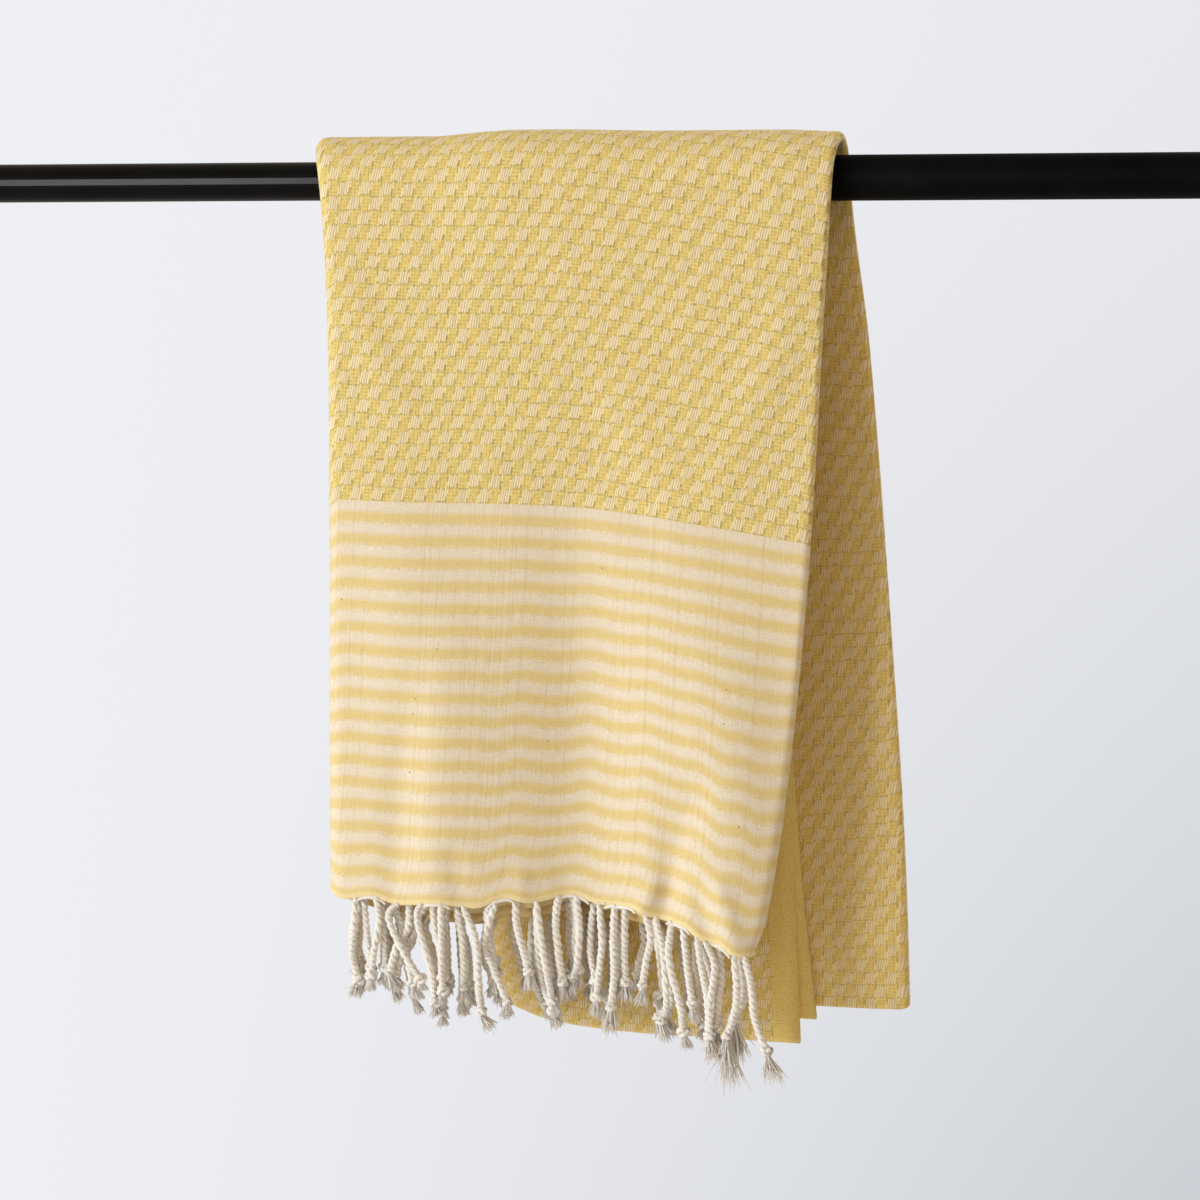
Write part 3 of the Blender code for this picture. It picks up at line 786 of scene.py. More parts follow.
def tube_rings(centres: np.ndarray, radii: np.ndarray, sides: int) -> np.ndarray:
    """Rings round the centre lines of tubes.

    Args:
        centres: Centre lines, as tube, place, x y z.
        radii: Radius at each place, as tube, place.
        sides: Sides of a ring.

    Returns:
        Points, as tube, place, side, x y z: the centre plus the radius times the cosine and sine of
        the side's turn along two directions across the line.
    """
    tangent = np.gradient(centres, axis=1)
    tangent /= np.maximum(np.linalg.norm(tangent, axis=-1, keepdims=True), LEAST_STEP)
    up = np.where(np.abs(tangent[..., 1:2]) < STEEPEST, [0.0, 1.0, 0.0], [1.0, 0.0, 0.0])
    first = np.cross(tangent, up)
    first /= np.linalg.norm(first, axis=-1, keepdims=True)
    second = np.cross(tangent, first)
    turn = 2 * pi * np.arange(sides) / sides
    ring = first[..., None, :] * np.cos(turn)[:, None] + second[..., None, :] * np.sin(turn)[:, None]
    return centres[..., None, :] + radii[..., None, None] * ring


def tube_faces(tubes: int, places: int, sides: int, start: int = 0, closed: bool = False) -> np.ndarray:
    """Quads of tubes made of rings.

    Args:
        tubes: Their number.
        places: Rings of each.
        sides: Sides of a ring.
        start: The first point's number.
        closed: Whether each tube's last ring joins its first.

    Returns:
        One row of four point numbers a quad.
    """
    number = start + np.arange(tubes * places * sides).reshape(tubes, places, sides)
    along = np.roll(number, -1, axis=1) if closed else number[:, 1:]
    here = number if closed else number[:, :-1]
    return np.stack([here, np.roll(here, -1, 2), np.roll(along, -1, 2), along], axis=-1).reshape(-1, 4)


@dataclass
class PointCloud:
    """Points and faces that are gathered for one object."""
    points: list = field(default_factory=list)
    faces: list = field(default_factory=list)
    count: int = 0

    def add_tubes(self, centres: np.ndarray, radii: np.ndarray, sides: int, closed: bool = False) -> None:
        """Adds tubes.

        Args:
            centres: Centre lines, as tube, place, x y z.
            radii: Radius at each place, as tube, place.
            sides: Sides of a ring.
            closed: Whether each centre line is a ring.
        """
        rings = tube_rings(centres, radii, sides)
        self.faces.append(tube_faces(*rings.shape[:3], self.count, closed))
        self.points.append(rings.reshape(-1, 3))
        self.count += len(self.points[-1])

    def build(self, name: str, material: bpy.types.Material) -> bpy.types.Object:
        """Makes the object."""
        return mesh_object(name, np.concatenate(self.points), np.concatenate(self.faces), material)


@dataclass
class Fringe:
    """The twisted, knotted cords of one end of the towel.

    The tuples that end in shares belong to a cord's five points. sight is how far a cord that lies
    behind is moved to the left for each metre of its depth, so that the camera sees it behind the
    cord in front.
    """
    drape: Drape
    ply: Ply
    routes: Sequence[Route]
    pitch: float = 0.0190
    sight: float = 0.20
    end_clear: float = 0.002
    reads: int = 60
    root_rise: float = 0.0012
    proud: float = 0.0006
    proud_shares: tuple = (0, 0.6, 1, 1, 1)
    pick_shift: float = 0.4
    stray: float = 0.0028
    stray_shares: tuple = (0, 1, 1, 1, 1)
    sway: float = 0.0010
    sway_shares: tuple = (0, 0.3, 0.7, 1, 1)
    hidden_length: Rule = (0.72, 0.98)
    ply_radius: float = 0.00140
    twist_radius: float = 0.00090
    twist_pitch: float = 0.0068
    twist_uneven: float = 0.5
    twist_wave: float = 5 * pi
    lumps: Rule = (0.07, 0.05)
    lump_waves: Rule = (23.0, 41.0)
    root_thin: float = 0.60
    root_share: float = 0.08
    thicknesses: Rule = (0.90, 1.08)
    rings_per_turn: int = 9
    strand_sides: int = 6
    knot_places: int = 30
    knot_radius: float = 0.0018
    knot_lobe: float = 0.0007
    knot_height: float = 0.0015
    knot_strand: float = 0.00125
    knot_sizes: Rule = (0.85, 1.15)
    fibres: int = 84
    fibre_sides: int = 3
    fibre_radius: float = 0.00034
    fibre_taper: tuple = (1.0, 0.95, 0.45)
    fibre_stray: float = 0.07
    fibre_bend: float = 0.10
    fibre_lengths: Rule = (0.62, 0.98)
    tuft_radius: float = 0.0014
    tuft_drop: float = 0.0016
    tuft_spread: float = 0.26
    tuft_spread_more: float = 0.12

    def hem_point(self, column: float) -> np.ndarray:
        """Finds the point on the ply's hem at a column."""
        offset = self.ply.value * HEM_HALF_GAP
        return self.drape.hang(np.array([column]), np.array([0.0]), np.array([offset]), 0.0)[0]

    def column_at(self, panel: int, x: float) -> float:
        """Finds the column at an x.

        Args:
            panel: The panel's first column.
            x: The place across.

        Returns:
            The column, read from a row of places along the panel.
        """
        columns = panel + np.linspace(0, 1, self.reads)
        places = self.drape.hem_x(columns)
        order = np.argsort(places)
        return float(np.interp(x, places[order], columns[order]))

    def hand_placed(self) -> list[np.ndarray]:
        """Cords of panel 2, which show best.

        Returns:
            Five points for each: root, a third, two thirds, knot and tip.
        """
        lines = []
        for route in self.routes:
            root = self.hem_point(self.column_at(FRONT_PANEL, route.root * MM))
            proud = np.array(self.proud_shares) * (route.out * MM + self.proud)
            lines.append(root + np.stack([route.sideways(), -proud, -route.down()], axis=-1))
        return lines

    def hidden(self, rng: np.random.Generator) -> list[np.ndarray]:
        """Cords of the panels behind panel 2, bunched behind the cords in front of them.

        Args:
            rng: Where their unevenness comes from.

        Returns:
            Five points for each: root, a third, two thirds, knot and tip.
        """
        lines = []
        front = sorted((*FRONT_CORDS, *SECOND_CORDS), key=lambda route: route.root)
        front_y = self.hem_point(FRONT_PANEL + 0.5)[1]
        for panel in HIDDEN_PANELS:
            ends = np.sort(self.drape.hem_x(np.array([panel, panel + 1.0])))
            near = [route for route in front if ends[0] < route.root * MM < ends[1]]
            many = int((ends[1] - ends[0]) / self.pitch)
            picks = np.linspace(0, len(near) - 1, many)
            picks = picks + rng.uniform(-self.pick_shift, self.pick_shift, many)
            for pick in np.clip(np.round(picks), 0, len(near) - 1).astype(int):
                route = near[pick]
                behind = self.hem_point(self.column_at(panel, route.root * MM))[1] - front_y
                x = route.root * MM - self.sight * behind
                x = np.clip(x, ends[0] + self.end_clear, ends[1] - self.end_clear)
                root = self.hem_point(self.column_at(panel, x))
                stray = np.array(self.stray_shares) * rng.uniform(-self.stray, self.stray)
                down = route.down() * rng.uniform(*self.hidden_length)
                back = np.array(self.sway_shares) * rng.uniform(-self.sway, self.sway)
                lines.append(root + np.stack([route.sideways() + stray, back, -down], axis=-1))
        return lines

    def add_twist(self, cloud: PointCloud, knots: np.ndarray, rng: np.random.Generator) -> None:
        """Adds each cord's two strands: helices round its curve, uneven in pitch and thickness.

        Args:
            cloud: Where they go.
            knots: Four points for each cord, from root to knot.
            rng: Where its unevenness comes from.
        """
        length = np.linalg.norm(np.diff(knots, axis=1), axis=-1).sum(axis=1)
        places = int(length.mean() / self.twist_pitch * self.rings_per_turn)
        share = np.linspace(0, 1, places)
        centre = curve_points(knots, share * (knots.shape[1] - 1))
        begin = rng.uniform(0, 2 * pi, (len(knots), 1))
        turn = begin + 2 * pi * share * (length / self.twist_pitch)[:, None]
        turn = turn + self.twist_uneven * np.sin(self.twist_wave * share + 3 * begin)
        thick = self.root_thin + (1 - self.root_thin) * ease(share / self.root_share)
        thick = thick * rng.uniform(*self.thicknesses, (len(knots), 1))
        swing = self.twist_radius * thick
        for half in (0.0, pi):
            around = [np.cos(turn + half) * swing, np.sin(turn + half) * swing, np.zeros_like(turn)]
            lumps = 1 + self.lumps[0] * np.sin(self.lump_waves[0] * share + 5 * begin + half)
            lumps = lumps + self.lumps[1] * np.sin(self.lump_waves[1] * share + 9 * begin)
            radii = self.ply_radius * thick * lumps
            cloud.add_tubes(centre + np.stack(around, axis=-1), radii, self.strand_sides)

    def add_knots(self, cloud: PointCloud, places: np.ndarray, rng: np.random.Generator) -> None:
        """Adds an overhand knot to each cord: a trefoil, with three lobes in two turns.

        Args:
            cloud: Where they go.
            places: One point for each cord.
            rng: Where their turns and sizes come from.
        """
        t = np.linspace(0, 2 * pi, self.knot_places, endpoint=False)[None, :]
        turned = rng.uniform(0, 2 * pi, (len(places), 1))
        size = rng.uniform(*self.knot_sizes, (len(places), 1))
        reach = size * (self.knot_radius + self.knot_lobe * np.cos(3 * t + turned))
        rise = size * self.knot_height * np.sin(3 * t)
        around = np.stack([reach * np.cos(2 * t + turned), reach * np.sin(2 * t + turned), rise], axis=-1)
        radii = np.broadcast_to(self.knot_strand * size, reach.shape)
        cloud.add_tubes(places[:, None, :] + around, radii, self.strand_sides, closed=True)

    def add_tufts(
        self, cloud: PointCloud, places: np.ndarray, tips: np.ndarray, rng: np.random.Generator,
    ) -> None:
        """Adds the loose fibres under each knot, each a bent line of three points that thins out.

        Args:
            cloud: Where they go.
            places: The knots.
            tips: The tufts' tips.
            rng: Where their spread comes from.
        """
        many = (len(places), self.fibres)
        way = (tips - places)[:, None, :]
        length = np.linalg.norm(way, axis=-1, keepdims=True)
        turn = rng.uniform(0, 2 * pi, many)
        out = np.sqrt(rng.random(many))
        aside = np.stack([out * np.cos(turn), out * np.sin(turn), np.zeros(many)], axis=-1)
        spread = self.tuft_spread + self.tuft_spread_more * rng.random((len(places), 1, 1))
        heading = way / length + aside * spread + rng.normal(0, self.fibre_stray, (*many, 3))
        heading /= np.linalg.norm(heading, axis=-1, keepdims=True)
        reach = length * rng.uniform(*self.fibre_lengths, (*many, 1))
        start = places[:, None, :] + self.tuft_radius * aside - np.array([0, 0, self.tuft_drop])
        share = np.linspace(0, 1, len(self.fibre_taper))[None, None, :, None]
        bend = rng.normal(0, self.fibre_bend, (*many, 1, 3)) * reach[..., None, :]
        centre = start[..., None, :] + heading[..., None, :] * reach[..., None, :] * share + bend * share ** 2
        centre = centre.reshape(-1, len(self.fibre_taper), 3)
        radii = np.broadcast_to(self.fibre_radius * np.array(self.fibre_taper), centre.shape[:2])
        cloud.add_tubes(centre, radii, self.fibre_sides)

    def build(self, name: str, material: bpy.types.Material, rng: np.random.Generator) -> bpy.types.Object:
        """Makes the fringe.

        Args:
            name: Its name.
            material: Its material.
            rng: Where its unevenness comes from.

        Returns:
            Its object.
        """
        lines = np.array(self.hand_placed() + self.hidden(rng))
        lines[:, 0, 2] += self.root_rise
        cloud = PointCloud()
        self.add_twist(cloud, lines[:, :4], rng)
        self.add_knots(cloud, lines[:, 3], rng)
        self.add_tufts(cloud, lines[:, 3], lines[:, 4], rng)
        LOG.info("%s: %d cords", name, len(lines))
        return cloud.build(name, material)


@dataclass
class HemLoops:
    """The cream weft loops under the front hem."""
    drape: Drape
    radius: float = 0.0011
    clear: float = 0.0002
    end_drop: float = 0.0016
    end_thin: float = 0.65
    dip_power: int = 5
    reads: int = 200
    places: int = 22
    sides: int = 8

    def build(self, material: bpy.types.Material) -> bpy.types.Object:
        """Makes the loops.

        Args:
            material: Their material.

        Returns:
            Their object. Each loop follows the hem, thin at both ends, which dip between the cords
            by a high power of the distance from its middle.
        """
        columns = FRONT_PANEL + np.linspace(0, 1, self.reads)
        edge = self.drape.hang(columns, np.zeros(1), np.array([HEM_HALF_GAP]), 0.0)
        share = np.linspace(0, 1, self.places)
        left = np.array([[loop.x_left] for loop in HEM_LOOPS]) * MM
        right = np.array([[loop.x_right] for loop in HEM_LOOPS]) * MM
        x = RAIL_MIDDLE + left + (right - left) * share
        y, z = (np.interp(x, edge[:, 0], edge[:, axis]) - self.clear for axis in (1, 2))
        z = z - self.end_drop * np.abs(2 * share - 1) ** self.dip_power
        thick = self.end_thin + (1 - self.end_thin) * np.sin(pi * share)
        radii = np.broadcast_to(self.radius * thick, x.shape)
        cloud = PointCloud()
        cloud.add_tubes(np.stack([x, y, z], axis=-1), radii, self.sides)
        return cloud.build("hem_loops", material)


def operator(operation: str, swapped: bool = False) -> Callable:
    """Makes an arithmetic operator of signals.

    Args:
        operation: Blender's name of it.
        swapped: Whether the signal stands on the right.

    Returns:
        The operator, which adds a math node.
    """
    def work(self: "Signal", other: object) -> "Signal":
        """Works the signal out with another value."""
        return self.graph.math(operation, *((other, self) if swapped else (self, other)))
    return work


@dataclass(frozen=True)
class Signal:
    """A node's output, for plain arithmetic."""
    graph: "NodeGraph"
    socket: bpy.types.NodeSocket

    __add__ = __radd__ = operator("ADD")
    __mul__ = __rmul__ = operator("MULTIPLY")
    __sub__, __rsub__ = operator("SUBTRACT"), operator("SUBTRACT", swapped=True)
    __truediv__, __mod__, __pow__ = operator("DIVIDE"), operator("FLOORED_MODULO"), operator("POWER")
    __lt__, __gt__ = operator("LESS_THAN"), operator("GREATER_THAN")

    def line(self, rule: Rule) -> "Signal":
        """Puts it on a straight line: the rule's first number times it, plus the second."""
        return self * rule[0] + rule[1]


class NodeGraph:
    """Builds the nodes of a material or of the world."""

    def __init__(self, owner: bpy.types.ID) -> None:
        """Opens the owner's nodes."""
        owner.use_nodes = True
        self.owner, self.nodes, self.links = owner, owner.node_tree.nodes, owner.node_tree.links

    def put(self, socket: bpy.types.NodeSocket, value: object) -> None:
        """Links a socket, or sets its value.

        Args:
            socket: The input.
            value: A signal, a number or a colour.
        """
        if isinstance(value, Signal):
            self.links.new(value.socket, socket)
        else:
            socket.default_value = (*value, 1.0) if isinstance(value, tuple) else value

    def add(self, kind: str, inputs: dict, **settings: object) -> bpy.types.Node:
        """Adds a node.

        Args:
            kind: Its type.
            inputs: Values for its inputs, by name or number.
            settings: Values for its own settings.

        Returns:
            The node.
        """
        node = self.nodes.new(kind)
        for name, value in settings.items():
            setattr(node, name, value)
        for name, value in inputs.items():
            self.put(node.inputs[name], value)
        return node

    def source(self, kind: str, output: str | int, **settings: object) -> Signal:
        """Adds a node that needs no inputs, with its settings, and takes one of its outputs."""
        return Signal(self, self.add(kind, {}, **settings).outputs[output])

    def math(self, operation: str, *values: object) -> Signal:
        """Works a number out from signals or numbers, by Blender's name of the operation."""
        node = self.add("ShaderNodeMath", dict(enumerate(values)), operation=operation)
        return Signal(self, node.outputs[0])

    def floor(self, value: Signal) -> Signal:
        """The whole number under a value."""
        return self.math("FLOOR", value)

    def fract(self, value: Signal) -> Signal:
        """What is left of a value over its whole number."""
        return self.math("FRACT", value)

    def arch(self, share: Signal) -> Signal:
        """A half sine wave: 0 at shares 0 and 1, and 1 half way between them."""
        return self.math("SINE", share * pi)

    def near(self, value: Signal, middle: float, reach: float) -> Signal:
        """1 where a value lies within reach of the middle, and 0 elsewhere."""
        return self.math("COMPARE", value, middle, reach)

    def mix(self, share: object, first: object, second: object) -> Signal:
        """A colour between two: the first where share is 0, the second where it is 1."""
        node = self.add("ShaderNodeMix", {"Factor": share, 6: first, 7: second}, data_type="RGBA")
        return Signal(self, node.outputs[2])

    def split(self, vector: Signal) -> list[Signal]:
        """A vector's three numbers."""
        return [Signal(self, output) for output in self.add("ShaderNodeSeparateXYZ", {0: vector}).outputs]

    def uv(self, name: str) -> list[Signal]:
        """A UV map's two numbers."""
        return self.split(self.source("ShaderNodeUVMap", 0, uv_map=name))[:2]

    def combine(self, x: object, y: object) -> Signal:
        """A vector of two numbers."""
        return Signal(self, self.add("ShaderNodeCombineXYZ", {0: x, 1: y}).outputs[0])

    def noise(self, scale: float, where: Signal | None = None, detail: float = SOFT_DETAIL) -> Signal:
        """Adds soft noise.

        Args:
            scale: How fine it is.
            where: The place to read it at, or else the object's own coordinates.
            detail: How many finer layers it has.

        Returns:
            A number from 0 to 1.
        """
        where = where or self.source("ShaderNodeTexCoord", "Object")
        inputs = {"Vector": where, "Scale": scale, "Detail": detail}
        return Signal(self, self.add("ShaderNodeTexNoise", inputs).outputs[0])

    def random(self, x: object, y: object) -> Signal:
        """A random number from 0 to 1 for each pair of numbers."""
        node = self.add("ShaderNodeTexWhiteNoise", {"Vector": self.combine(x, y)}, noise_dimensions="2D")
        return Signal(self, node.outputs["Value"])

    def reach(self, value: Signal, low: float, high: float, kind: str = "LINEAR") -> Signal:
        """How far a value is on its way from low to high, from 0 to 1."""
        inputs = {"Value": value, "From Min": low, "From Max": high}
        return Signal(self, self.add("ShaderNodeMapRange", inputs, interpolation_type=kind).outputs["Result"])


class Surface(NodeGraph):
    """Builds a material with one shader."""

    def __init__(self, name: str) -> None:
        """Starts the material."""
        super().__init__(bpy.data.materials.new(name))
        self.shader = self.nodes["Principled BSDF"]

    def bump(self, height: Signal, distance: float, strength: float) -> None:
        """Raises the surface by height times a distance in metres, of which strength shows."""
        node = self.add("ShaderNodeBump", {"Height": height, "Distance": distance, "Strength": strength})
        self.links.new(node.outputs[0], self.shader.inputs["Normal"])

    def finish(self, colour: Signal, **numbers: object) -> bpy.types.Material:
        """Sets the shader.

        Args:
            colour: The base colour.
            numbers: Its other values, named as its sockets are, with _ for a space.

        Returns:
            The material.
        """
        self.put(self.shader.inputs["Base Color"], colour)
        for name, value in numbers.items():
            self.shader.inputs[name.replace("_", " ")].default_value = value
        return self.owner


@dataclass(frozen=True)
class YarnFinish:
    """Colours and sizes of the weave.

    Colours are linear. check_width, check_height, thread, wander, wander_apart, stripe_uneven,
    border, hem_line, painted_light_band and relief are in metres, and the others are shares, counts and
    powers. A pair that ends in light, height, begins or ends is a straight line's slope and base.
    """
    # ground_light and ground_dark bound the ground's tone. Random threads set that tone and, among the
    # checks, painted shade does too.
    ground_light: Colour = (0.93, 0.72, 0.245)
    ground_dark: Colour = (0.44, 0.335, 0.11)
    # float_lit and float_shaded are lit and shaded copies of the floats' cream: painted light on each
    # strand's crown, and painted shade at its sides and at the block's ends.
    float_lit: Colour = (0.98, 0.82, 0.54)
    float_shaded: Colour = (0.56, 0.43, 0.225)
    float_rim: Colour = (0.98, 0.83, 0.43)
    stripe_yellow: Colour = (0.88, 0.69, 0.295)
    stripe_cream: Colour = (0.94, 0.84, 0.69)
    thread_gap: Colour = (0.60, 0.46, 0.24)
    # hem_and_painted_light_colour colours a lighter line along the hem. On the hidden plies it also colours a
    # wider band of painted light over hems that lie in shade.
    hem_and_painted_light_colour: Colour = (0.95, 0.80, 0.46)
    # painted_warm_glow is painted light: the warm glow of light that passes through and bounces between the
    # plies, mixed into the hidden faces.
    painted_warm_glow: Colour = (0.84, 0.50, 0.10)
    fleck: Colour = (0.16, 0.10, 0.04)
    # The checks' blocks and the strands that float in them.
    check_width: float = 0.0121
    check_height: float = 0.00797
    float_share: float = 0.46
    floats: float = 4.0
    strand_step: float = 11.0
    float_shift: float = 0.16
    float_shorter: float = 0.26
    rim_begins: float = 0.60
    rim_share: float = 0.8
    # crown_power, strand_power and crown_light shape the floats' painted shading.
    crown_power: float = 0.5
    strand_power: float = 0.95
    crown_light: Rule = (0.25, 0.75)
    shift_light: Rule = (0.5, 0.75)
    uneven_light: Rule = (0.35, 0.93)
    lean: float = 0.09
    # The lighter strands at a block's two sides, and the painted shadow line beside them.
    edge_strand: float = 0.042
    right_strand: float = 0.040
    left_strand: float = 0.955
    right_begins: Rule = (0.3, 0.30)
    left_ends: Rule = (0.3, 0.40)
    edge_light: Rule = (0.3, 0.7)
    shade_place: float = 0.03
    shade_reach: float = 0.035
    # How light the plain ground is, and the painted shade that darkens it among the checks:
    # least midway between blocks, most beside the floats and in the shadow line.
    plain_weave: float = 0.55
    plain_uneven: float = 0.42
    ground_plain: float = 0.62
    midway_light_gain: float = 0.30
    checks_shade: float = 0.52
    ground_shade: float = 0.25
    # Single threads, and how they wander.
    thread: float = 0.00096
    slub_scale: Rule = (700.0, 90.0)
    streak_scale: Rule = (80.0, 1100.0)
    wander_scale: Rule = (16.0, 22.0)
    wander_apart: float = 3.0
    wander: Rule = (0.0032, 0.0013)
    # The striped ends.
    stripe_count: int = 36
    stripe_softness: float = 0.95
    stripe_uneven: float = 0.0014
    dark_threads: float = 0.14
    gap_dark: float = 0.22
    gap_uneven: float = 0.30
    gap_weave: float = 0.18
    gap_streak: float = 0.22
    pale_threads: float = 0.06
    pale_light: Rule = (1.6, -0.70)
    # Flecks, border, hem, and the painted light and painted warm glow on the hidden plies' inner faces.
    flecks: float = 0.0002
    fleck_share: float = 0.5
    border: float = 0.015
    hem_line: float = 0.0030
    painted_light_band: float = 0.018
    hem_share: float = 0.55
    warm_glow_share: float = 0.15
    # Relief and gloss.
    float_height: Rule = (0.40, 0.40)
    plain_height: float = 0.30
    edge_height: float = 0.35
    thread_height: float = 0.06
    relief: float = 0.0005
    relief_strength: float = 0.75
    roughness: float = 0.92
    specular: float = 0.12
    sheen: float = 0.15


@dataclass(frozen=True)
class Threads:
    """The threads at a place.

    warp, weft, crossing and fleck are random numbers, slub is how thick the yarn is, weave its over
    and under, and plain how light the plain cloth is.
    """
    warp: Signal
    weft: Signal
    crossing: Signal
    fleck: Signal
    slub: Signal
    weave: Signal
    plain: Signal


@dataclass(frozen=True)
class Block:
    """The checks at a place: what part of a block's floating strands, side and ground it is, with the shares
    of its painted light and painted shade.
    """
    on_float: Signal
    strand: Signal
    rim: Signal
    crown: Signal
    shift: Signal
    ground_lit_midway: Signal
    long_edge: Signal
    shade: Signal


class Weave:
    """The towel's cloth: off-white warp checks on yellow, striped ends and a plain border."""

    def __init__(self, yarn: YarnFinish) -> None:
        """Keeps the colours and sizes, and starts the material."""
        self.yarn, self.graph = yarn, Surface("woven_cotton")

    def places(self) -> tuple[Signal, Signal]:
        """Finds where a point lies on the flat cloth.

        Returns:
            Its place across the cloth, and along it from the nearer end, shifted by soft noise.
        """
        graph, yarn = self.graph, self.yarn
        across, along = graph.uv("cloth")
        here, apart = graph.combine(across, along), graph.combine(across + yarn.wander_apart, along)
        aside = (graph.noise(yarn.wander_scale[0], here) - 0.5) * yarn.wander[0]
        onward = (graph.noise(yarn.wander_scale[1], apart) - 0.5) * yarn.wander[1]
        return across + aside, graph.math("MINIMUM", along, WOVEN_LENGTH - along) + onward

    def wave(self, place: Signal, length: float) -> Signal:
        """A sine wave of a length in metres, from 0 to 1."""
        return self.graph.math("SINE", place * (2 * pi / length)).line((0.5, 0.5))

    def threads(self, across: Signal, along: Signal) -> Threads:
        """Finds the warp and the weft thread at a place.

        Args:
            across: Place across the cloth.
            along: Place along it.

        Returns:
            What is told about them.
        """
        graph, yarn = self.graph, self.yarn
        warp, weft = graph.floor(across / yarn.thread), graph.floor(along / yarn.thread)
        stretched = graph.combine(across * yarn.slub_scale[0], along * yarn.slub_scale[1])
        weave = self.wave(across, 2 * yarn.thread) * self.wave(along, 2 * yarn.thread)
        crossing = graph.random(warp, weft)
        return Threads(
            warp=graph.random(warp, 0.5), weft=graph.random(0.5, weft), crossing=crossing,
            fleck=graph.random(weft, warp), slub=graph.noise(1.0, stretched, FINE_DETAIL), weave=weave,
            plain=weave * yarn.plain_weave + crossing * yarn.plain_uneven,
        )

    def block(self, across: Signal, along: Signal, threads: Threads) -> Block:
        """Lays out the checks: rows of blocks, every other one shifted by half, all leaning a little.

        Args:
            across: Place across the cloth.
            along: Place along it.
            threads: The threads there.

        Returns:
            Where the place lies in its block. A block's strands end unevenly, and a lighter strand
            runs part of the way down each of its sides. It also gives the shares of painted shade on the
            ground beside the floats, and of a painted shadow line to the right of each block.
        """
        graph, yarn = self.graph, self.yarn
        row = (along - STRIPED_END) / yarn.check_height
        number, place = graph.floor(row), graph.fract(row)
        turn = across / yarn.check_width + number % 2.0 * 0.5 + (0.5 - place) * yarn.lean
        phase = graph.fract(turn)
        inside = phase / yarn.float_share
        strands = inside * yarn.floats
        strand = graph.floor(turn) * yarn.strand_step + graph.floor(strands)
        shorter, shift = graph.random(strand, number), graph.random(number, strand)
        reach = graph.math("ABSOLUTE", place - ((shift - 0.5) * yarn.float_shift + 0.5)) * 2.0
        beyond = (phase - yarn.float_share) / (1.0 - yarn.float_share)
        right = graph.near(phase, yarn.float_share + yarn.right_strand, yarn.edge_strand)
        right = right * (place > threads.warp.line(yarn.right_begins))
        left = graph.near(phase, yarn.left_strand, yarn.edge_strand)
        left = left * (place < threads.warp.line(yarn.left_ends))
        # A painted shadow line on the ground just right of each block: the shadow of the raised floats under
        # light from the left, painted onto the ground.
        shade = graph.near(phase, yarn.float_share + yarn.shade_place, yarn.shade_reach)
        return Block(
            on_float=(phase < yarn.float_share) * (reach < 1.0 - shorter * yarn.float_shorter),
            strand=graph.arch(graph.fract(strands)),
            rim=graph.math("ABSOLUTE", inside * 2.0 - 1.0) > yarn.rim_begins,
            crown=graph.arch(place) ** yarn.crown_power,
            shift=shift,
            ground_lit_midway=graph.arch(graph.math("MAXIMUM", beyond, 0.0)),
            long_edge=right + left,
            shade=shade * (1.0 - right),
        )

    def stripes(self, across: Signal, along: Signal, threads: Threads) -> Signal:
        """Colours the striped ends.

        Args:
            across: Place across the cloth.
            along: Place along it.
            threads: The threads there.

        Returns:
            Yellow and cream by a sine wave along the cloth, with darker gaps and a few pale threads.
        """
        graph, yarn = self.graph, self.yarn
        uneven = along + (threads.crossing - 0.5) * yarn.stripe_uneven
        wave = graph.math("SINE", uneven * (pi * yarn.stripe_count / STRIPED_END))
        cream = graph.reach(wave * -1.0, -yarn.stripe_softness, yarn.stripe_softness, "SMOOTHSTEP")
        colour = graph.mix(cream, yarn.stripe_yellow, yarn.stripe_cream)
        stretched = graph.combine(across * yarn.streak_scale[0], along * yarn.streak_scale[1])
        gap = (threads.warp > 1.0 - yarn.dark_threads) * yarn.gap_dark
        gap = gap + threads.crossing * yarn.gap_uneven + (1.0 - threads.weave) * yarn.gap_weave
        gap = gap * threads.slub + graph.noise(1.0, stretched) * yarn.gap_streak
        pale = (threads.warp < yarn.pale_threads) * threads.slub.line(yarn.pale_light)
        return graph.mix(pale, graph.mix(gap, colour, yarn.thread_gap), yarn.float_rim)

    def checks(self, block: Block, threads: Threads, checked: Signal) -> Signal:
        """Colours the checks and the plain border.

        Args:
            block: The checks there.
            threads: The threads there.
            checked: 1 in the checks, 0 in the border.

        Returns:
            Floating strands with painted shading, lit on their crowns and shaded at their sides and
            ends, on a ground with painted shade that is darkest beside them.
        """
        graph, yarn = self.graph, self.yarn
        # Painted shade on the ground among the checks: darkest beside the raised floats, lightest midway
        # between blocks, and darker again in a painted shadow line to the right of each block.
        darker = block.ground_lit_midway * yarn.midway_light_gain - yarn.checks_shade - block.shade * yarn.ground_shade
        lit = threads.plain + (darker * checked + yarn.ground_plain)
        ground = graph.mix(lit, yarn.ground_dark, yarn.ground_light)
        edge = block.long_edge * checked * threads.crossing.line(yarn.edge_light)
        ground = graph.mix(edge, ground, yarn.float_rim)
        # Painted shading of the floats: lit on each strand's middle and on the block's middle, and shaded
        # towards their sides and ends, with random tone by strand and by thread.
        lit = block.strand ** yarn.strand_power * block.crown.line(yarn.crown_light)
        lit = lit * block.shift.line(yarn.shift_light) * threads.crossing.line(yarn.uneven_light)
        top = graph.mix(block.rim * yarn.rim_share, yarn.float_lit, yarn.float_rim)
        return graph.mix(block.on_float * checked, ground, graph.mix(lit, yarn.float_shaded, top))

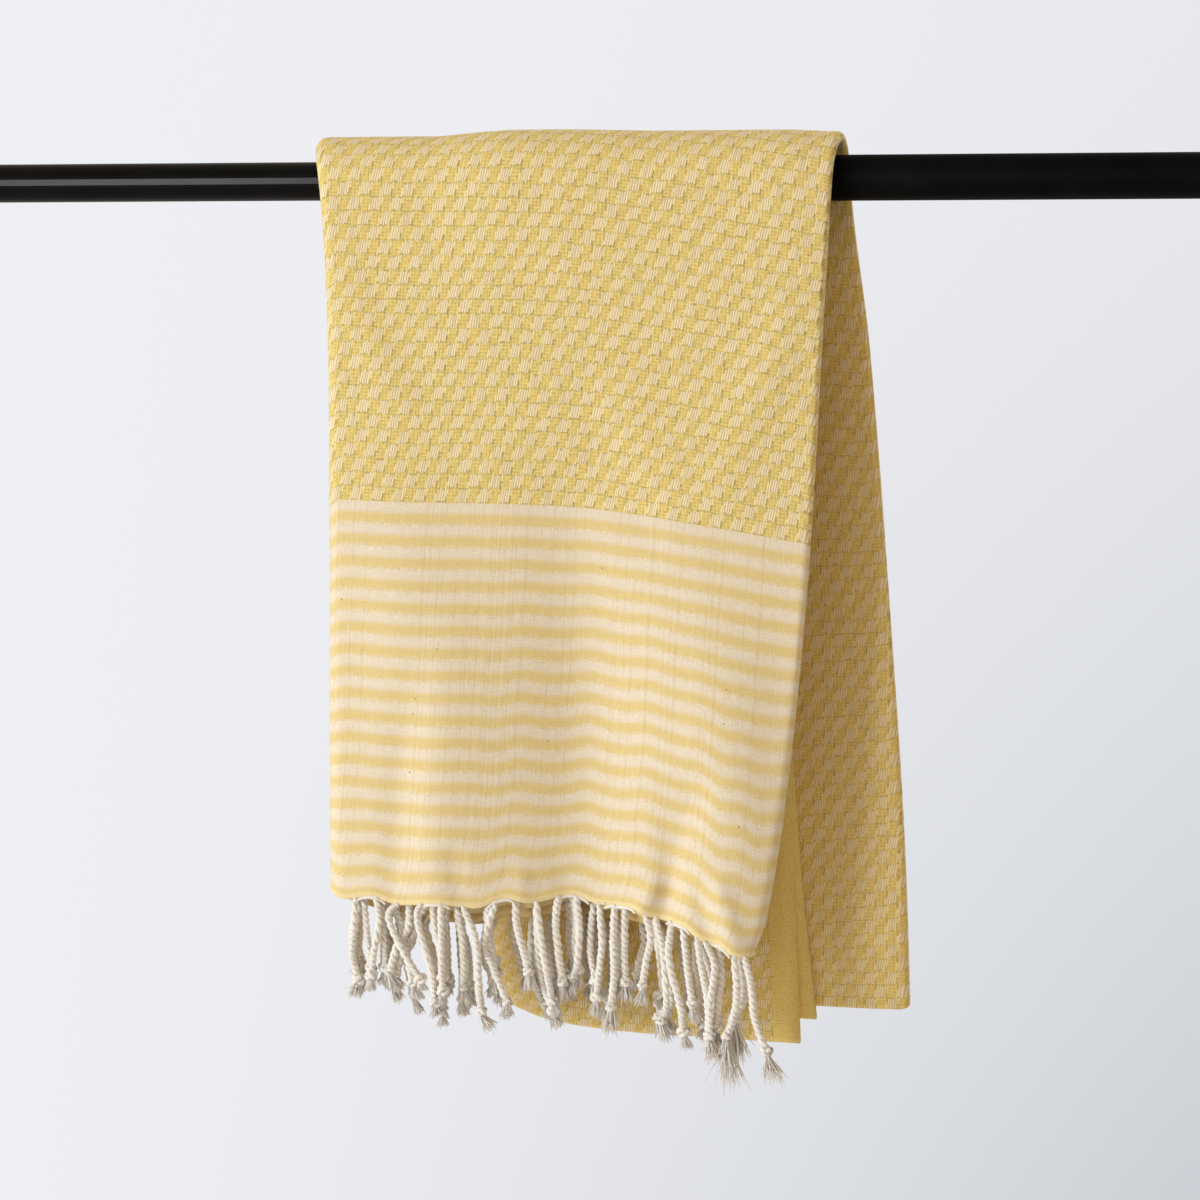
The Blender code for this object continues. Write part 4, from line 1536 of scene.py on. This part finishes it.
    def build(self) -> bpy.types.Material:
        """Makes the material.

        Returns:
            Checks above the stripes' end, stripes below it, a lighter line at the hem, painted light
            on the hidden plies' hems, which lie in shade, a painted warm glow inside the fold and a few
            flecks, with the strands in relief. The checks carry painted shading of their floats and ground.
        """
        graph, yarn = self.graph, self.yarn
        across, along = self.places()
        edge, hidden = graph.uv("selvedge")
        threads = self.threads(across, along)
        block = self.block(across, along, threads)
        above = along > STRIPED_END
        checked = above * (edge > yarn.border)
        colour = graph.mix(above, self.stripes(across, along, threads), self.checks(block, threads, checked))
        # A lighter line at the hem. On the hidden plies the band widens into painted light over hems that lie
        # in shade.
        hem = (along < hidden * yarn.painted_light_band + yarn.hem_line) * yarn.hem_share
        colour = graph.mix(hem, colour, yarn.hem_and_painted_light_colour)
        # A painted warm glow on the hidden faces inside the fold.
        colour = graph.mix(hidden * yarn.warm_glow_share, colour, yarn.painted_warm_glow)
        colour = graph.mix((threads.fleck > 1.0 - yarn.flecks) * yarn.fleck_share, colour, yarn.fleck)
        floats = block.on_float * checked
        height = block.strand.line(yarn.float_height) * block.crown * floats
        height = height + threads.plain * yarn.plain_height * (1.0 - floats)
        height = height + block.long_edge * checked * yarn.edge_height
        height = height + (threads.warp + threads.weft) * yarn.thread_height
        graph.bump(height, yarn.relief, yarn.relief_strength)
        return graph.finish(
            colour, Roughness=yarn.roughness, Specular_IOR_Level=yarn.specular, Sheen_Weight=yarn.sheen,
        )


@dataclass(frozen=True)
class CottonFinish:
    """Off-white cotton cord, which light enters a little. Colours are linear."""
    light: Colour = (0.96, 0.90, 0.81)
    dark: Colour = (0.88, 0.80, 0.70)
    fine_scale: float = 900.0
    fine_share: float = 0.7
    broad_scale: float = 60.0
    broad_share: float = 0.5
    relief: float = 0.0004
    relief_strength: float = 0.5
    roughness: float = 0.95
    specular: float = 0.1
    sheen: float = 0.3
    soft: float = 0.5
    soft_reach: float = 0.0025
    soft_colour: Colour = (1.0, 0.9, 0.8)

    def material(self) -> bpy.types.Material:
        """Makes the material.

        Returns:
            Cord that is mottled by fine and broad noise, with the fine noise in relief.
        """
        graph = Surface("twisted_cotton")
        fine = graph.noise(self.fine_scale, detail=FINE_DETAIL)
        graph.bump(fine, self.relief, self.relief_strength)
        mottle = fine * self.fine_share + graph.noise(self.broad_scale) * self.broad_share
        return graph.finish(
            graph.mix(mottle, self.dark, self.light), Roughness=self.roughness,
            Specular_IOR_Level=self.specular, Sheen_Weight=self.sheen, Subsurface_Weight=self.soft,
            Subsurface_Radius=self.soft_colour, Subsurface_Scale=self.soft_reach,
        )


@dataclass(frozen=True)
class PaintFinish:
    """A black paint with a faint grain and dust. grain is its relief in metres."""
    name: str
    base: Colour
    roughness: float
    specular: float
    grain: float
    grain_scale: float = 700.0
    grain_strength: float = 0.4
    dust: Colour = (0.02, 0.02, 0.02)
    dust_scale: float = 35.0
    dust_power: float = 3.0
    dust_share: float = 0.35

    def material(self) -> bpy.types.Material:
        """Makes the material.

        Returns:
            Paint that is dusted by a power of broad noise, with fine noise in relief.
        """
        graph = Surface(self.name)
        graph.bump(graph.noise(self.grain_scale, detail=FINE_DETAIL), self.grain, self.grain_strength)
        dusty = graph.noise(self.dust_scale) ** self.dust_power * self.dust_share
        colour = graph.mix(dusty, self.base, self.dust)
        return graph.finish(colour, Roughness=self.roughness, Specular_IOR_Level=self.specular)


@dataclass(frozen=True)
class Rail:
    """The rail's two tubes, which keep the solids' own meshes."""
    thin: PaintFinish = PaintFinish("satin_black", (0.0016, 0.0016, 0.0018), 0.20, 0.10, 0.00004)
    thick: PaintFinish = PaintFinish("matt_black", (0.0020, 0.0022, 0.0022), 0.50, 0.03, 0.00010)

    def dress(self) -> None:
        """Paints both tubes."""
        for node, paint in (("rail_thin_tube", self.thin), ("rail_thick_tube", self.thick)):
            dress(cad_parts[node], paint.material())
            LOG.info("%s: %s", node, paint.name)


@dataclass(frozen=True)
class Softbox:
    """An area light. One that is gloss_only shows in highlights and lights nothing else."""
    name: str
    place: tuple
    size: tuple
    power: float
    colour: Colour = (1.0, 1.0, 1.0)
    gloss_only: bool = False


@dataclass
class Studio:
    """Camera, backdrop, floor and light.

    view_left to view_bottom are where the backdrop's shade begins and ends, as parts of the sight
    line: the first two sideways, the last two upwards. backdrop_top is how much of it is left at
    the top.
    """
    aim: tuple = (0.43, -0.02, -0.10)
    camera_place: tuple = (0.8493, -2.1698, -0.0775)
    camera_tilt: float = 86.005
    camera_turn: float = 11.19
    lens: float = 120.0
    sensor: float = 36.0
    lights: tuple = (
        Softbox("key_left", (-3.05, -2.96, 0.35), (2.4, 2.4), 157.0, (0.94, 1.0, 1.06)),
        Softbox("strip_front_left", (-0.475, -1.93, 0.02), (0.50, 1.3), 30.0, gloss_only=True),
        Softbox("fill_back", (1.5, 1.9, 0.9), (1.4, 1.0), 22.0, (0.95, 1.0, 1.06)),
    )
    ambient_low: Colour = (0.425, 0.350, 0.265)
    ambient_high: Colour = (0.620, 0.535, 0.440)
    backdrop_left: Colour = (0.858, 0.866, 0.899)
    backdrop_right: Colour = (0.607, 0.628, 0.665)
    backdrop_curve: float = 1.5
    backdrop_top: float = 0.22
    view_left: float = -0.337
    view_right: float = -0.047
    view_top: float = 0.078
    view_bottom: float = -0.216
    floor_z: float = -1.05
    floor_radius: float = 1.6
    floor_sides: int = 96
    floor_mottle: float = 3.0
    floor_roughness: float = 0.9
    floor_colours: tuple = ((0.74, 0.75, 0.77), (0.80, 0.80, 0.82))

    def camera(self) -> None:
        """Puts the camera where the photograph was taken from."""
        data = bpy.data.cameras.new("camera")
        data.lens, data.sensor_width = self.lens, self.sensor
        item = bpy.data.objects.new("camera", data)
        item.location = self.camera_place
        item.rotation_euler = (radians(self.camera_tilt), 0.0, radians(self.camera_turn))
        bpy.context.collection.objects.link(item)
        bpy.context.scene.camera = item

    def world(self) -> None:
        """Lights all round, most from above, with a backdrop that darkens to the lower right."""
        bpy.context.scene.world = bpy.data.worlds.new("studio")
        graph = NodeGraph(bpy.context.scene.world)
        side, _, up = graph.split(graph.source("ShaderNodeTexCoord", "Generated"))
        right = graph.reach(side, self.view_left, self.view_right) ** self.backdrop_curve
        down = graph.reach(up, self.view_top, self.view_bottom) ** self.backdrop_curve
        dark = right * down.line((1.0 - self.backdrop_top, self.backdrop_top))
        backdrop = graph.mix(dark, self.backdrop_left, self.backdrop_right)
        ambient = graph.mix(up, self.ambient_low, self.ambient_high)
        seen = graph.source("ShaderNodeLightPath", "Is Camera Ray")
        graph.put(graph.nodes["Background"].inputs[0], graph.mix(seen, ambient, backdrop))

    def light(self, box: Softbox) -> None:
        """Adds one light, turned to the towel.

        Args:
            box: The light.
        """
        data = bpy.data.lights.new(box.name, "AREA")
        data.shape, data.size, data.size_y = "RECTANGLE", *box.size
        data.energy, data.color = box.power, box.colour
        item = bpy.data.objects.new(box.name, data)
        item.location = box.place
        item.rotation_euler = (Vector(self.aim) - Vector(box.place)).to_track_quat("-Z", "Y").to_euler()
        item.visible_camera = False
        item.visible_diffuse = not box.gloss_only
        bpy.context.collection.objects.link(item)

    def floor(self) -> None:
        """Lays a pale round floor, out of the photograph's view."""
        count = self.floor_sides
        turn = 2 * pi * np.arange(count) / count
        ring = np.stack([np.cos(turn), np.sin(turn), np.zeros(count)], axis=-1) * self.floor_radius
        points = np.concatenate([[[0, 0, 0]], ring]) + np.array([*self.aim[:2], self.floor_z])
        here = np.arange(1, count + 1)
        faces = np.stack([np.zeros(count, int), here, np.roll(here, -1)], axis=-1)
        graph = Surface("pale_floor")
        colour = graph.mix(graph.noise(self.floor_mottle), *self.floor_colours)
        floor = mesh_object("floor", points, faces, graph.finish(colour, Roughness=self.floor_roughness))

    def build(self) -> None:
        """Sets up the whole studio."""
        self.camera()
        self.world()
        for box in self.lights:
            self.light(box)
        self.floor()
        bpy.context.scene.view_settings.view_transform = "Standard"


def main() -> None:
    """Dresses the towel and its rail, and sets up the studio."""
    logging.basicConfig(level=logging.INFO)
    Studio().build()
    rng = np.random.default_rng(SEED)
    drape, cotton = Drape(), CottonFinish().material()
    towel = TowelCloth(drape).build(Weave(YarnFinish()).build())
    outer = Fringe(drape, Ply.OUTER, FRONT_CORDS).build("fringe_outer", cotton, rng)
    inner = Fringe(drape, Ply.INNER, SECOND_CORDS).build("fringe_inner", cotton, rng)
    loops = HemLoops(drape).build(cotton)
    Rail().dress()
    for item in (towel, outer, inner, loops):
        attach(item, "root")
        LOG.info("%s: %d faces", item.name, len(item.data.polygons))
    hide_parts("towel_cloth")
    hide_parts("fringe_outer_end")
    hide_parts("fringe_inner_end")


if __name__ == "__main__":
    main()
